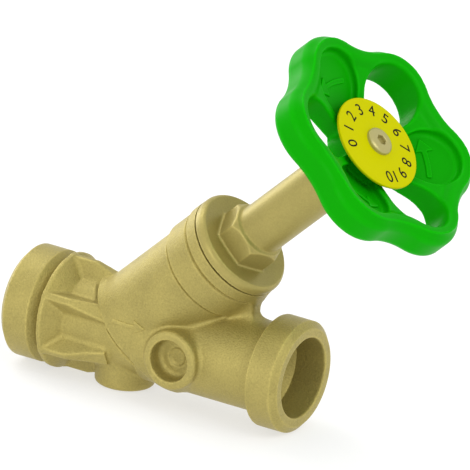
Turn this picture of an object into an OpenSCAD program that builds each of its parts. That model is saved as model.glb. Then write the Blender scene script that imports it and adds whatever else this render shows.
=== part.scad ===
// Y-pattern globe valve, DN20, with male pipe ends, an inclined stem and a spindle that doesn't rise.
// The origin is the centre of the inlet face. +X is the flow direction along the pipe and +Z is up.
// The stem leans from +Z towards the outlet. Stem pieces are drawn along +Z from the crossing of the
// stem and pipe axes, in stations called "at", and are then leaned over by on_stem().

/* [Pipe ends] */
// Overall length from the inlet face to the outlet face
body_length = 93.5; // [90:0.5:104]
// Outer diameter of the male pipe thread on both ends
thread_od = 33.25; // [32.5:0.25:35]
// Length of the threaded collar at each end
collar_length = 9.6; // [8:0.2:11]
// Lead chamfer of the collar, along the pipe
lead_length = 1.75; // [0.75:0.25:2.5]
// Lead chamfer of the collar, measured on the radius
lead_depth = 2; // [1:0.25:2.5]
// Length of the taper behind each collar
taper_length = 2.5; // [1.5:0.25:3.5]
// Diameter of the open mouth in each end face
mouth_d = 23.8; // [22:0.2:25]
// Depth of the open mouth
mouth_depth = 9.8; // [6:0.2:11]
// Diameter of the waterway
bore_d = 19; // [17:0.5:19.5]
// Outer diameter of the outlet tube behind its collar
outlet_tube_d = 26.6; // [25:0.2:28]

/* [Spanner section] */
// Outer diameter of the flange and of the ribs
flange_d = 34.2; // [33:0.2:36]
// Thickness of the flange
flange_t = 2; // [1.5:0.25:3]
// Width of the groove between the inlet taper and the flange
groove_w = 1.2; // [0.8:0.2:2]
// Diameter at the bottom of the groove
groove_d = 27.6; // [26:0.2:30]
// Number of ribs round the barrel
rib_count = 6; // [4:2:8]
// Width of each rib
rib_w = 3.7; // [2.5:0.1:4.5]
// Length of the ribs at full height, from the flange
rib_length = 7.5; // [5:0.5:9]
// Distance across the sunk flats between the ribs
flats_d = 24.4; // [23.6:0.2:26]
// Length of the ramp from the flange down to the flats
ramp_length = 3.1; // [1.5:0.1:4.5]

/* [Neck] */
// Distance from the inlet face to the crossing of the stem and pipe axes
cross_x = 34.4; // [33:0.2:37]
// Lean of the stem from vertical, in degrees
stem_lean = 45; // [43:1:47]
// Station where the neck leaves the barrel
neck_start = 3.7; // [3:0.1:4.5]
// Outer diameter of the plain neck
neck_d = 29.3; // [28.8:0.1:30]
// Length of the plain neck
neck_length = 30.7; // [29:0.1:33]
// Outer diameter of the first ring on the neck
ring_a_d = 31.1; // [30.6:0.1:31.6]
// Length of the first ring
ring_a_length = 9; // [7:0.2:11]
// Outer diameter of the second ring, at the mouth of the neck
ring_b_d = 32.1; // [31.6:0.1:33]
// Length of the second ring
ring_b_length = 3.6; // [3:0.1:5]
// Diameter of the chamber round the plunger
chamber_d = 23.8; // [23.4:0.1:24.4]
// Diameter of the thread that joins the neck and the bonnet
joint_thread_d = 26.4; // [26:0.1:27]
// Outer diameter of the central part of the casting
belly_d = 28.6; // [28:0.1:29.2]
// Thickness of the gusset between the neck and the outlet
gusset_t = 6; // [3:0.5:8]
// Distance of the gusset's end from the outlet face
gusset_back = 17.2; // [15:0.2:20]
// Radius of the hollow curve at the gusset's end
gusset_bend = 4; // [2:0.25:4.5]

/* [Drain ports] */
// Diameter of the two port bosses
boss_d = 18; // [16:0.5:19]
// Diameter of the port thread
port_d = 11.9; // [9:0.1:13]
// Depth of the port thread
port_depth = 5.6; // [4.5:0.1:6]
// Distance of the side port from the inlet face
side_port_x = 57.6; // [56:0.2:60]
// Reach of the side boss from the pipe axis
side_port_reach = 16.1; // [15.8:0.1:19]
// Reach of the bottom boss from the pipe axis
bottom_port_reach = 16.9; // [16.5:0.1:20]
// Edge rounding of the bosses
boss_edge = 1.2; // [0.4:0.1:2]

/* [Seat and plunger] */
// Diameter of the opening through the seat
seat_d = 17.4; // [15:0.2:18]
// Width of the raised seat rim
seat_rim_w = 1.2; // [0.8:0.1:1.4]
// Height of the raised seat rim
seat_rim_h = 0.6; // [0.3:0.1:1]
// Thickness of the wall that carries the seat
seat_wall = 3.5; // [2.5:0.1:4]
// Stroke of the plunger from closed to open
stroke = 8; // [5:0.5:8]
// Thickness of the seat washer
washer_t = 2.8; // [2:0.1:3.5]
// Outer diameter of the seat washer
washer_d = 20.2; // [19.8:0.1:20.8]
// Outer diameter of the cup that holds the seat washer
cup_d = 21.8; // [21.4:0.1:22.4]
// Diameter of the plunger's waist
waist_d = 13; // [12:0.2:16]
// Outer diameter of the plunger where it runs in the bonnet
piston_d = 20.2; // [19.8:0.1:20.4]
// Diameter of the spindle thread in the plunger
drive_thread_d = 9.86; // [9:0.02:10]

/* [Bonnet] */
// Outer diameter of the bonnet flange
bonnet_flange_d = 32; // [31:0.1:33]
// Thickness of the bonnet flange
bonnet_flange_t = 3.9; // [3.4:0.1:5]
// Rounding of the bonnet flange's front edge
flange_round = 2.2; // [0.8:0.1:2.4]
// Length of the guide skirt below the neck's mouth
skirt_length = 20.5; // [20:0.1:21.5]
// Length of the joint thread on the bonnet
joint_thread_length = 12; // [8:0.5:12]
// Distance across the flats of the hexagon
hex_af = 16.8; // [16.4:0.2:19]
// Height of the hexagon above the flange's face
hex_h = 6.1; // [4:0.1:8]
// Outer diameter of the sleeve
sleeve_d = 15.1; // [14.5:0.1:15.8]
// Length of the sleeve above the hexagon
sleeve_length = 40; // [30:1:48]

/* [Spindle] */
// Diameter of the spindle in the sleeve
spindle_d = 9.94; // [9:0.02:10.2]
// Diameter of the spindle's thrust collar
thrust_d = 13.2; // [12.4:0.1:13.4]
// Thickness of the thrust collar
thrust_t = 1.6; // [1.2:0.1:2]
// Width across the square that drives the wheel
square_af = 7; // [6:0.1:7.4]
// Length of the square
square_length = 8.4; // [7:0.2:9]
// Radial running clearance of the spindle and the plunger
run_gap = 0.06; // [0.03:0.01:0.09]

/* [Handwheel] */
// Radius from the stem axis to the tip of a lobe
lobe_tip_r = 35.1; // [33:0.2:38]
// Radius of the round end of a lobe
lobe_r = 14; // [13:0.2:15]
// Radius from the stem axis to the valley between two lobes
valley_r = 30.6; // [29.5:0.2:31.5]
// Height of the rim along the stem
rim_h = 10.2; // [8:0.2:12]
// Width of the rim
rim_w = 4.7; // [4:0.1:5.5]
// Thickness of the spokes between the recesses
spoke_w = 2.8; // [2:0.1:4]
// Depth of the three closed recesses below the dished face
recess_depth = 2.6; // [1.5:0.1:3]
// Outer diameter of the wheel's hub
hub_d = 21; // [16:0.5:22]
// Gap between the end of the sleeve and the hub
hub_gap = 1; // [0.5:0.1:2]
// Diameter of the indicator disc
disc_d = 29.6; // [26:0.5:34]
// Thickness of the indicator disc
disc_t = 0.9; // [0.6:0.1:1.5]
// Diameter of the wheel screw's head
screw_head_d = 8.6; // [7:0.1:10]

/* [Hidden] */
$fn = 96;

// Colours
brass = [0.73, 0.69, 0.40];
rubber = [0.10, 0.10, 0.10];
green = [0.08, 0.68, 0.06];
yellow = [0.83, 0.83, 0.02];
steel = [0.72, 0.72, 0.73];
white_plastic = [0.92, 0.92, 0.90];

// Small fits and reliefs that every piece shares
seal_gap = 0.05;      // round seals from the walls beside them
slip = 0.05;          // axial slip between faces that turn on each other
thread_gap = 0.05;    // joint thread, radially
overshoot = 1;        // how far a cutting shape runs past the face it opens
reach = 200;          // longer than any piece

// Pipe, measured along X from the inlet face
thread_r = thread_od / 2;
face_r = thread_r - lead_depth;
bore_r = bore_d / 2;
mouth_r = mouth_d / 2;
mouth_cone = mouth_r - bore_r;
barrel_r = flats_d / 2;
flange_x = collar_length + taper_length + groove_w;
ramp_x = flange_x + flange_t;
rib_slope = 7;
rib_low_r = flange_d / 2 - 2;
belly_r = belly_d / 2;
tube_r = outlet_tube_d / 2;
belly_lap = 6;        // how far the belly runs past the near side of the side boss
belly_end_x = side_port_x - boss_d / 2 + belly_lap;
belly_cone = 3;
gusset_foot = 0.2;    // how far the gusset's curve runs below the tube's top
fillet_r = 0.5;

// Neck and seat stations
chamber_floor = neck_start + 0.7;
seat_top = chamber_floor + seat_rim_h;
seat_under = chamber_floor - seat_wall;
ring_a_start = neck_start + neck_length;
ring_b_start = ring_a_start + ring_a_length;
neck_mouth = ring_b_start + ring_b_length;
joint_thread_start = neck_mouth - joint_thread_length;

// Bonnet stations
joint_relief_h = 0.35;
joint_relief_d = bonnet_flange_d - 1.8;
flange_face = neck_mouth + bonnet_flange_t;
dish_r = bonnet_flange_d / 2 - flange_round;
dish_depth = 1.2;
hex_top = flange_face + hex_h;
sleeve_top = hex_top + sleeve_length;
sleeve_foot_r = sleeve_d / 2 + 0.4;
sleeve_foot_h = 0.8;
skirt_end = neck_mouth - skirt_length;
skirt_wall = 1.5;
piston_r = piston_d / 2;
cavity_r = piston_r + run_gap;
cavity_top = neck_mouth - 0.2;
thrust_bore_r = thrust_d / 2 + 0.4;
spindle_r = spindle_d / 2;
stem_bore_r = spindle_r + run_gap;

// Thrust stack above the cavity, from below: ring, washer, collar, washer
circlip_at = cavity_top + 0.4;
circlip_t = 0.9;
circlip_groove_r = thrust_bore_r + 0.7;
bottom_washer_at = circlip_at + circlip_t + slip;
thrust_washer_t = 0.7;
collar_at = bottom_washer_at + thrust_washer_t + slip;
top_washer_at = collar_at + thrust_t + slip;
thrust_bore_top = top_washer_at + thrust_washer_t + slip;

// Sleeve end
bush_r = 6.2;
bush_length = 7;
wiper_t = 0.9;
bush_at = sleeve_top - wiper_t - bush_length;

// Round seals: section radius and groove sizes
seal_r = 0.75;
seal_groove_w = 2 * seal_r + 0.4;
back_ring_t = 1;
spindle_seal_floor = stem_bore_r - 2 * seal_r + 0.1;
spindle_seal_first = thrust_bore_top + 2.4;
spindle_seal_pitch = 3.6;
joint_seal_r = 0.8;
joint_seal_bore_r = joint_thread_d / 2 + 2 * joint_seal_r + 2 * seal_gap;

// Plunger stations, closed
cup_floor = seat_top + washer_t;
cup_wall_h = washer_t - 1.6;
cup_back = cup_floor + 2.2;
carrier_top = cavity_top - stroke - 0.6;
piston_start = skirt_end - 2.5;
carrier_seal_at = skirt_end + 1.2;
lug_h = 1.5;
lug_w = 3;
lug_r = cavity_r + 0.9;
lug_slot_start = carrier_top - lug_h - 0.2;
drive_r = drive_thread_d / 2;
drive_engagement = 12;
spindle_end = carrier_top - drive_engagement;
carrier_bore_end = spindle_end - stroke - 1.5;
plate_t = 0.8;
plate_margin = 2.2;
plate_r = seat_d / 2 - plate_margin;
washer_screw_r = 2.5;
washer_screw_grip = 3;
washer_screw_end = cup_back + washer_screw_grip;
washer_head_r = 4;
washer_head_h = 2;
screw_slot_w = 1.2;
screw_slot_depth = 0.9;

// Wheel stations
hub_back = sleeve_top + hub_gap;
square_end = hub_back + square_length;
washer_ring_t = 0.8;
hub_front = square_end + washer_ring_t;
disc_top = hub_front + disc_t;
rim_rise = 3.4;
rim_top = disc_top + rim_rise;
rim_bottom = rim_top - rim_h;
screw_r = 2.5;
screw_length = 12;
screw_hole_gap = 0.05;

// Wheel outline: convex lobe arcs and concave valley arcs that meet on one tangent
lobe_count = 6;
lobe_step = 360 / lobe_count;
half_step = lobe_step / 2;
lobe_centre = lobe_tip_r - lobe_r;
valley_curve_r = (pow(lobe_centre, 2) + pow(valley_r, 2) - pow(lobe_r, 2)
                  - 2 * lobe_centre * valley_r * cos(half_step))
                 / (2 * (lobe_r + lobe_centre * cos(half_step) - valley_r));
valley_centre = valley_r + valley_curve_r;
lobe_half_angle = atan2(valley_centre * sin(half_step),
                        valley_centre * cos(half_step) - lobe_centre);
valley_half_angle = lobe_half_angle - half_step;
rim_outer_round = 3;
rim_inner_round = 1.7;
rim_foot_round = 2.2;
rim_foot_inner = 0.6;
rim_section_w = rim_w + 0.6;
valley_inset = 0.03;
valley_lap = 0.4;
dish_slope = 0.38;
dish_outer_r = valley_r - rim_section_w;
dish_outer_at = rim_top - rim_inner_round;
recess_r = lobe_centre * sin(half_step) - spoke_w / 2;
recess_tip = lobe_centre + recess_r;
recess_in = 11.5;
recess_in_r = recess_in * sin(half_step) - spoke_w / 2;
recess_side_step = 0.03;
floor_t = 2.4;
hollow_inset = 1.4;

// Places pieces that are drawn along +Z on the leaning stem.
module on_stem() {
    translate([cross_x, 0, 0]) rotate([0, stem_lean, 0]) children();
}

// Places pieces that are drawn along +Z on the pipe, from the inlet face.
module on_pipe() {
    rotate([0, 90, 0]) children();
}

// Solid of revolution between two stations, with the same radius all along.
module rod(r, from, to) {
    translate([0, 0, from]) cylinder(r = r, h = to - from);
}

// Ring between two stations.
module ring(outer, inner, from, to) {
    rotate_extrude() translate([inner, from]) square([outer - inner, to - from]);
}

// Ring of round section with its centre line on radius r at a station.
module round_ring(r, section, at) {
    translate([0, 0, at]) rotate_extrude() translate([r, 0]) circle(r = section, $fn = 32);
}

// Everything on the wheel side of a plane across the stem.
module above(at) {
    on_stem() translate([-reach / 2, -reach / 2, at]) cube(reach);
}

// Everything on the inlet side of a plane across the stem.
module below(at) {
    on_stem() translate([-reach / 2, -reach / 2, at - reach]) cube(reach);
}

// Casting.

// Inlet collar, taper, groove and flange, turned round the pipe axis.
module inlet_turned() {
    flange_r = flange_d / 2;
    rotate_extrude() polygon([
        [0, 0], [face_r, 0], [thread_r, lead_length], [thread_r, collar_length],
        [groove_d / 2, collar_length + taper_length], [groove_d / 2, flange_x],
        [flange_r - fillet_r, flange_x], [flange_r, flange_x + fillet_r],
        [flange_r, ramp_x - fillet_r], [flange_r - fillet_r, ramp_x],
        [barrel_r, ramp_x + ramp_length], [barrel_r, cross_x], [0, cross_x]]);
}

// One rib from the flange to the neck, full height first and then sloping down.
module rib() {
    rib_r = flange_d / 2;
    rib_end = ramp_x + rib_length;
    translate([0, rib_w / 2, 0]) rotate([90, 0, 0]) linear_extrude(rib_w) polygon([
        [0, flange_x], [rib_r, flange_x + fillet_r], [rib_r, rib_end - fillet_r],
        [rib_r - fillet_r, rib_end], [rib_low_r, rib_end + rib_slope], [rib_low_r - 1, cross_x],
        [0, cross_x]]);
}

// Barrel between the inlet and the outlet tube, six-sided where the flats are.
module barrel() {
    on_pipe() {
        inlet_turned();
        for (i = [0 : rib_count - 1]) rotate([0, 0, i * 360 / rib_count]) rib();
        translate([0, 0, ramp_x]) cylinder(r = barrel_r, h = cross_x + bore_r + 4 - ramp_x);
    }
}

// Wider central part that the neck, the bosses and the outlet tube grow from.
module belly() {
    intersection() {
        on_pipe() rotate_extrude() polygon([
            [0, cross_x - belly_r], [belly_r, cross_x - belly_r], [belly_r, belly_end_x],
            [tube_r, belly_end_x + belly_cone], [0, belly_end_x + belly_cone]]);
        above(neck_start);
    }
}

// Outlet tube and its threaded collar.
module outlet_turned() {
    on_pipe() rotate_extrude() polygon([
        [0, cross_x + bore_r], [tube_r, cross_x + bore_r],
        [tube_r, body_length - collar_length - taper_length / 2],
        [thread_r, body_length - collar_length], [thread_r, body_length - lead_length],
        [face_r, body_length], [0, body_length]]);
}

// Inclined neck with its two rings.
module neck() {
    on_stem() {
        rod(neck_d / 2, neck_start, ring_a_start);
        rod(ring_a_d / 2, ring_a_start, ring_b_start);
        rod(ring_b_d / 2, ring_b_start, neck_mouth);
    }
}

// Web in the crotch between the neck and the outlet tube, whose end curves down onto the tube.
module gusset() {
    end_x = body_length - gusset_back;
    bend_x = end_x + gusset_bend;
    end_z = end_x - cross_x - ring_a_d / 2 * sqrt(2);
    under = cross_x + ring_b_start * sin(stem_lean);
    rotate([90, 0, 0]) translate([0, 0, -gusset_t / 2]) linear_extrude(gusset_t) difference() {
        polygon([
            [cross_x + bore_r, bore_r + 1], [bend_x, bore_r + 1], [bend_x, end_z], [end_x, end_z],
            [under - ring_a_length, ring_a_start * cos(stem_lean)], [cross_x + bore_r, neck_d / 2]]);
        translate([bend_x, tube_r + gusset_bend - gusset_foot]) circle(r = gusset_bend);
    }
}

// Round boss with a rounded edge, from the pipe axis to its reach.
module boss(length) {
    cylinder(r = boss_d / 2, h = length - boss_edge);
    cylinder(r = boss_d / 2 - boss_edge, h = length);
    translate([0, 0, length - boss_edge]) rotate_extrude()
        translate([boss_d / 2 - boss_edge, 0]) circle(r = boss_edge, $fn = 32);
}

// Blind threaded port, drawn up to its mouth.
module port(length) {
    translate([0, 0, length - port_depth]) cylinder(r = port_d / 2, h = port_depth + overshoot);
}

module to_side_port() {
    translate([side_port_x, 0, 0]) rotate([90, 0, 0]) children();
}

module to_bottom_port() {
    translate([cross_x, 0, 0]) rotate([180, 0, 0]) children();
}

// Mouth, cone and bore of one pipe end, drawn from its face inwards.
module pipe_void(depth) {
    translate([0, 0, -overshoot]) cylinder(r = mouth_r, h = mouth_depth + overshoot);
    translate([0, 0, mouth_depth]) cylinder(r1 = mouth_r, r2 = bore_r, h = mouth_cone);
    cylinder(r = bore_r, h = depth);
}

// Waterway on the inlet side, up to the wall that carries the seat.
module inlet_void() {
    intersection() {
        on_pipe() pipe_void(cross_x + 2 * bore_r);
        below(seat_under);
    }
}

// Waterway on the outlet side, from the seat wall onwards.
module outlet_void() {
    intersection() {
        translate([body_length, 0, 0]) rotate([0, -90, 0]) pipe_void(body_length - cross_x + bore_r);
        above(chamber_floor);
    }
}

// Chamber, joint thread and seal groove inside the neck, with the seat's opening and rim.
module stem_void() {
    rim_r = seat_d / 2 + seat_rim_w;
    on_stem() {
        rod(seat_d / 2, seat_under - overshoot, seat_top + overshoot);
        ring(chamber_d / 2, rim_r, chamber_floor, seat_top);
        rod(chamber_d / 2, seat_top, neck_mouth);
        rod(joint_thread_d / 2, joint_thread_start - 1, neck_mouth + overshoot);
        rod(joint_seal_bore_r, neck_mouth - 2 * joint_seal_r - 2 * seal_gap, neck_mouth + overshoot);
    }
}

module valve_body() {
    color(brass) difference() {
        union() {
            barrel();
            belly();
            outlet_turned();
            neck();
            gusset();
            to_side_port() boss(side_port_reach);
            to_bottom_port() boss(bottom_port_reach);
        }
        inlet_void();
        outlet_void();
        stem_void();
        to_side_port() port(side_port_reach);
        to_bottom_port() port(bottom_port_reach);
    }
}

// Bonnet.

// Skirt, joint thread, flange and sleeve, turned round the stem axis.
module bonnet_turned() {
    flange_r = bonnet_flange_d / 2;
    thread_out = joint_thread_d / 2 - thread_gap;
    skirt_r = cavity_r + skirt_wall;
    rotate_extrude() polygon([
        [0, skirt_end], [skirt_r, skirt_end], [skirt_r, joint_thread_start],
        [thread_out, joint_thread_start + 1], [thread_out, neck_mouth],
        [joint_relief_d / 2, neck_mouth], [joint_relief_d / 2, neck_mouth + joint_relief_h],
        [flange_r, neck_mouth + joint_relief_h], [flange_r, flange_face - flange_round],
        [dish_r, flange_face], [hex_af / 2, flange_face - dish_depth], [hex_af / 2, flange_face],
        [sleeve_foot_r, hex_top], [sleeve_d / 2, hex_top + sleeve_foot_h],
        [sleeve_d / 2, sleeve_top], [0, sleeve_top]]);
    intersection() {
        round_ring(dish_r, flange_round, flange_face - flange_round);
        ring(flange_r + overshoot, dish_r, flange_face - flange_round, flange_face + overshoot);
    }
}

// Hexagon with its top corners turned off to 30 degrees.
module bonnet_hexagon() {
    corner_r = hex_af / 2 / cos(30);
    turned = (corner_r - sleeve_foot_r) * tan(30);
    intersection() {
        translate([0, 0, flange_face - dish_depth])
            cylinder(r = corner_r, h = hex_h + dish_depth, $fn = 6);
        rotate_extrude() polygon([
            [0, flange_face - dish_depth - overshoot], [corner_r + 1, flange_face - dish_depth - overshoot],
            [corner_r + 1, hex_top - turned - tan(30)], [corner_r, hex_top - turned],
            [sleeve_foot_r, hex_top], [0, hex_top]]);
    }
}

// Two slots in the skirt's bore that keep the plunger from turning.
module lug_slots() {
    slot_w = lug_w + 0.3;
    intersection() {
        translate([-reach / 2, -slot_w / 2, lug_slot_start])
            cube([reach, slot_w, cavity_top - lug_slot_start]);
        rod(lug_r + 0.2, lug_slot_start, cavity_top);
    }
}

module bonnet() {
    color(brass) on_stem() difference() {
        union() {
            bonnet_turned();
            bonnet_hexagon();
        }
        rod(cavity_r, skirt_end - overshoot, cavity_top);
        lug_slots();
        rod(thrust_bore_r, cavity_top - overshoot, thrust_bore_top);
        rod(circlip_groove_r, circlip_at, circlip_at + circlip_t + slip / 2);
        rod(stem_bore_r, thrust_bore_top - overshoot, sleeve_top + overshoot);
        rod(bush_r, bush_at, sleeve_top + overshoot);
    }
}

module bonnet_o_ring() {
    color(rubber) on_stem() round_ring(
        joint_thread_d / 2 + joint_seal_r + seal_gap, joint_seal_r, neck_mouth - joint_seal_r - seal_gap);
}

module thrust_washer(at) {
    ring(thrust_bore_r - 0.1, spindle_r + 0.15, at, at + thrust_washer_t);
}

module top_thrust_washer() {
    color(white_plastic) on_stem() thrust_washer(top_washer_at);
}

module bottom_thrust_washer() {
    color(white_plastic) on_stem() thrust_washer(bottom_washer_at);
}

// Open ring with two plier ears at its gap.
module collar_circlip() {
    outer = circlip_groove_r - 0.1;
    inner = outer - 1.3;
    ear_r = 0.9;
    half_gap = 0.6;
    color(steel) on_stem() translate([0, 0, circlip_at]) linear_extrude(circlip_t) difference() {
        union() {
            difference() {
                circle(r = outer);
                circle(r = inner);
            }
            for (side = [-1, 1])
                translate([inner, side * (ear_r + half_gap)]) circle(r = ear_r, $fn = 32);
        }
        translate([0, -half_gap]) square([reach, 2 * half_gap]);
    }
}

module guide_bush() {
    color(white_plastic) on_stem() ring(bush_r, stem_bore_r, bush_at, bush_at + bush_length);
}

module wiper_ring() {
    color(rubber) on_stem() ring(bush_r, stem_bore_r, bush_at + bush_length, sleeve_top);
}

// Spindle and wheel.

// Drive thread, relief, thrust collar and shaft, turned round the stem axis.
module spindle_turned() {
    rotate_extrude() polygon([
        [0, spindle_end], [drive_r - 0.8, spindle_end], [drive_r, spindle_end + 0.8],
        [drive_r, collar_at - 0.2], [drive_r, collar_at], [thrust_d / 2, collar_at],
        [thrust_d / 2, collar_at + thrust_t], [spindle_r, collar_at + thrust_t],
        [spindle_r, hub_back - 0.3], [spindle_r - 0.3, hub_back], [0, hub_back]]);
}

module spindle() {
    color(steel) on_stem() difference() {
        union() {
            spindle_turned();
            intersection() {
                translate([-square_af / 2, -square_af / 2, hub_back - 1])
                    cube([square_af, square_af, square_length + 1]);
                rod(square_af / 2 + 1.1, hub_back - 1, square_end);
            }
        }
        for (i = [0, 1]) translate([0, 0, spindle_seal_first + i * spindle_seal_pitch])
            ring(spindle_r + 1, spindle_seal_floor, -seal_groove_w / 2, seal_groove_w / 2);
        rod(screw_r + screw_hole_gap, square_end - screw_length - 1, square_end + overshoot);
    }
}

module spindle_o_rings() {
    section = (stem_bore_r - spindle_seal_floor) / 2 - 0.02;
    color(rubber) on_stem() for (i = [0, 1])
        round_ring(
            spindle_seal_floor + section + 0.02, section, spindle_seal_first + i * spindle_seal_pitch);
}

// Section of the rim across its path, with x outwards from the path's inner side.
module rim_section(inset) {
    w = rim_section_w;
    h = rim_h;
    polygon([
        [inset, rim_foot_inner], [rim_foot_inner, inset], [w - rim_foot_round, inset],
        [w - inset, rim_foot_round], [w - inset, h - rim_outer_round], [w - rim_outer_round, h - inset],
        [rim_inner_round, h - inset], [inset, h - rim_inner_round]]);
    translate([w - rim_outer_round, h - rim_outer_round]) circle(r = rim_outer_round - inset);
    translate([rim_inner_round, h - rim_inner_round]) circle(r = rim_inner_round - inset);
    translate([w - rim_foot_round, rim_foot_round]) circle(r = rim_foot_round - inset);
}

// Rim round one lobe.
module lobe_arc() {
    translate([lobe_centre, 0, 0]) rotate([0, 0, -lobe_half_angle])
        rotate_extrude(angle = 2 * lobe_half_angle)
            translate([lobe_r - rim_section_w, 0]) rim_section(0);
}

// Rim along one valley, with its ends let into the two lobes beside it.
module valley_arc() {
    half_angle = valley_half_angle + valley_lap / valley_curve_r * 180 / PI;
    translate([valley_centre, 0, 0]) rotate([0, 0, 180 - half_angle])
        rotate_extrude(angle = 2 * half_angle)
            translate([valley_curve_r + rim_section_w, 0]) mirror([1, 0]) rim_section(valley_inset);
}

module rim() {
    translate([0, 0, rim_bottom]) for (i = [0 : lobe_count - 1]) rotate([0, 0, i * lobe_step]) {
        lobe_arc();
        rotate([0, 0, half_step]) valley_arc();
    }
}

// Outline inside the rim, as a disc and one disc a lobe.
module web_outline() {
    circle(r = valley_r - rim_section_w / 2);
    for (i = [0 : lobe_count - 1]) rotate(i * lobe_step) translate([lobe_centre, 0])
        circle(r = lobe_r - rim_section_w / 2);
}

// Height of the dished face over a radius.
function dish_at(r) = dish_outer_at - dish_slope * (dish_outer_r - r);

// Dished web, between a cone in front and a flatter cone behind.
module web() {
    inner = hub_d / 2 - 1;
    intersection() {
        translate([0, 0, hub_back - 1]) linear_extrude(rim_top - hub_back) web_outline();
        rotate_extrude() polygon([
            [0, hub_back + 0.2], [inner, hub_back + 0.2], [valley_r - 4, rim_bottom + 0.3],
            [lobe_tip_r, rim_bottom + 0.3], [lobe_tip_r, dish_outer_at], [dish_outer_r, dish_outer_at],
            [inner, dish_at(inner)], [0, dish_at(inner)]]);
    }
}

// Plan of one recess: a wide round outer end and a narrow inner end, with sides along the spokes.
// The sides start a hair inside the two round ends.
module recess_plan(inset) {
    big = recess_r - inset;
    small = recess_in_r - inset;
    side_big = big - recess_side_step;
    side_small = small - recess_side_step;
    translate([lobe_centre, 0]) circle(r = big);
    translate([recess_in, 0]) circle(r = small);
    polygon([
        [recess_in - side_small * sin(half_step), -side_small * cos(half_step)],
        [lobe_centre - side_big * sin(half_step), -side_big * cos(half_step)],
        [lobe_centre - side_big * sin(half_step), side_big * cos(half_step)],
        [recess_in - side_small * sin(half_step), side_small * cos(half_step)]]);
}

// Open window, through the wheel.
module window() {
    translate([0, 0, hub_back - overshoot])
        linear_extrude(rim_top - hub_back + 2 * overshoot) recess_plan(0);
}

// Closed recess in front, with a floor that follows the dished face.
module pocket() {
    floor_in = dish_at(0) - recess_depth;
    intersection() {
        window();
        rotate_extrude() polygon([
            [0, floor_in], [lobe_tip_r, floor_in + dish_slope * lobe_tip_r],
            [lobe_tip_r, rim_top + 2 * overshoot], [0, rim_top + 2 * overshoot]]);
    }
}

// Hollow behind a closed recess, which leaves its floor as a thin shell.
module back_hollow() {
    under_in = dish_at(0) - recess_depth - floor_t;
    intersection() {
        translate([0, 0, hub_back - overshoot])
            linear_extrude(rim_top - hub_back) recess_plan(hollow_inset);
        rotate_extrude() polygon([
            [0, hub_back - overshoot], [lobe_tip_r, hub_back - overshoot],
            [lobe_tip_r, under_in + dish_slope * lobe_tip_r], [0, under_in]]);
    }
}

module handwheel() {
    color(green) on_stem() difference() {
        union() {
            difference() {
                union() {
                    rim();
                    web();
                }
                for (i = [0 : 2]) rotate([0, 0, 2 * i * lobe_step]) {
                    window();
                    rotate([0, 0, lobe_step]) pocket();
                    rotate([0, 0, lobe_step]) back_hollow();
                }
            }
            rod(hub_d / 2, hub_back, hub_front);
        }
        translate([-square_af / 2 - slip, -square_af / 2 - slip, hub_back - overshoot])
            cube([square_af + 2 * slip, square_af + 2 * slip, reach]);
        rod(square_af / 2 + 2, square_end, hub_front + overshoot);
    }
}

module indicator_disc() {
    color(yellow) on_stem() ring(disc_d / 2, screw_r + 0.1, hub_front, disc_top);
}

module wheel_washer() {
    color(steel) on_stem() ring(square_af / 2 + 1.8, screw_r + 0.1, square_end, hub_front);
}

// Low domed screw with a hexagon socket in its head.
module wheel_screw() {
    head_r = screw_head_d / 2;
    head_h = 1.9;
    dome = 1.1;
    socket_af = 3;
    color(brass) on_stem() difference() {
        rotate_extrude() polygon([
            [0, square_end - screw_length], [screw_r - 0.4, square_end - screw_length],
            [screw_r, square_end - screw_length + 0.4], [screw_r, disc_top], [head_r, disc_top],
            [head_r, disc_top + 0.3], [head_r - dome * 0.35, disc_top + 1.2],
            [head_r - dome, disc_top + head_h], [0, disc_top + head_h]]);
        translate([0, 0, disc_top + head_h - 1.2]) cylinder(r = socket_af / 2 / cos(30), h = 2, $fn = 6);
    }
}

// Plunger.

// Cup, waist and piston, turned round the stem axis.
module carrier_turned() {
    cup_r = cup_d / 2;
    pocket_r = washer_d / 2 + seal_gap;
    waist_r = waist_d / 2;
    lead = (piston_r - waist_r) / 2;
    rotate_extrude() polygon([
        [0, cup_floor], [pocket_r, cup_floor], [pocket_r, cup_floor - cup_wall_h],
        [cup_r, cup_floor - cup_wall_h], [cup_r, cup_back - 1], [waist_r, cup_back + 2],
        [waist_r, piston_start - lead], [piston_r, piston_start], [piston_r, carrier_top],
        [0, carrier_top]]);
}

module disc_carrier() {
    groove_end = carrier_seal_at + seal_r + seal_gap + back_ring_t + seal_gap;
    color(brass) on_stem() difference() {
        union() {
            carrier_turned();
            intersection() {
                translate([-reach / 2, -lug_w / 2, carrier_top - lug_h]) cube([reach, lug_w, lug_h]);
                rod(lug_r, carrier_top - lug_h, carrier_top);
            }
        }
        ring(piston_r + overshoot, piston_r - 2 * seal_r + 0.1,
             carrier_seal_at - seal_r - seal_gap, groove_end);
        rod(drive_r + run_gap, carrier_bore_end, carrier_top + overshoot);
        rod(washer_screw_r + screw_hole_gap, cup_floor - overshoot, washer_screw_end + 0.5);
    }
}

module carrier_o_ring() {
    floor_r = piston_r - 2 * seal_r + 0.1;
    section = (cavity_r - floor_r) / 2 - 0.02;
    color(rubber) on_stem() round_ring(floor_r + section + 0.02, section, carrier_seal_at);
}

module carrier_back_ring() {
    from = carrier_seal_at + seal_r + seal_gap;
    color(white_plastic) on_stem() ring(piston_r, piston_r - 2 * seal_r + 0.15, from, from + back_ring_t);
}

module seat_washer() {
    color(rubber) on_stem() ring(washer_d / 2, washer_screw_r + 0.1, seat_top, cup_floor);
}

module washer_plate() {
    color(steel) on_stem() ring(plate_r, washer_screw_r + 0.1, seat_top - plate_t, seat_top);
}

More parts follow.
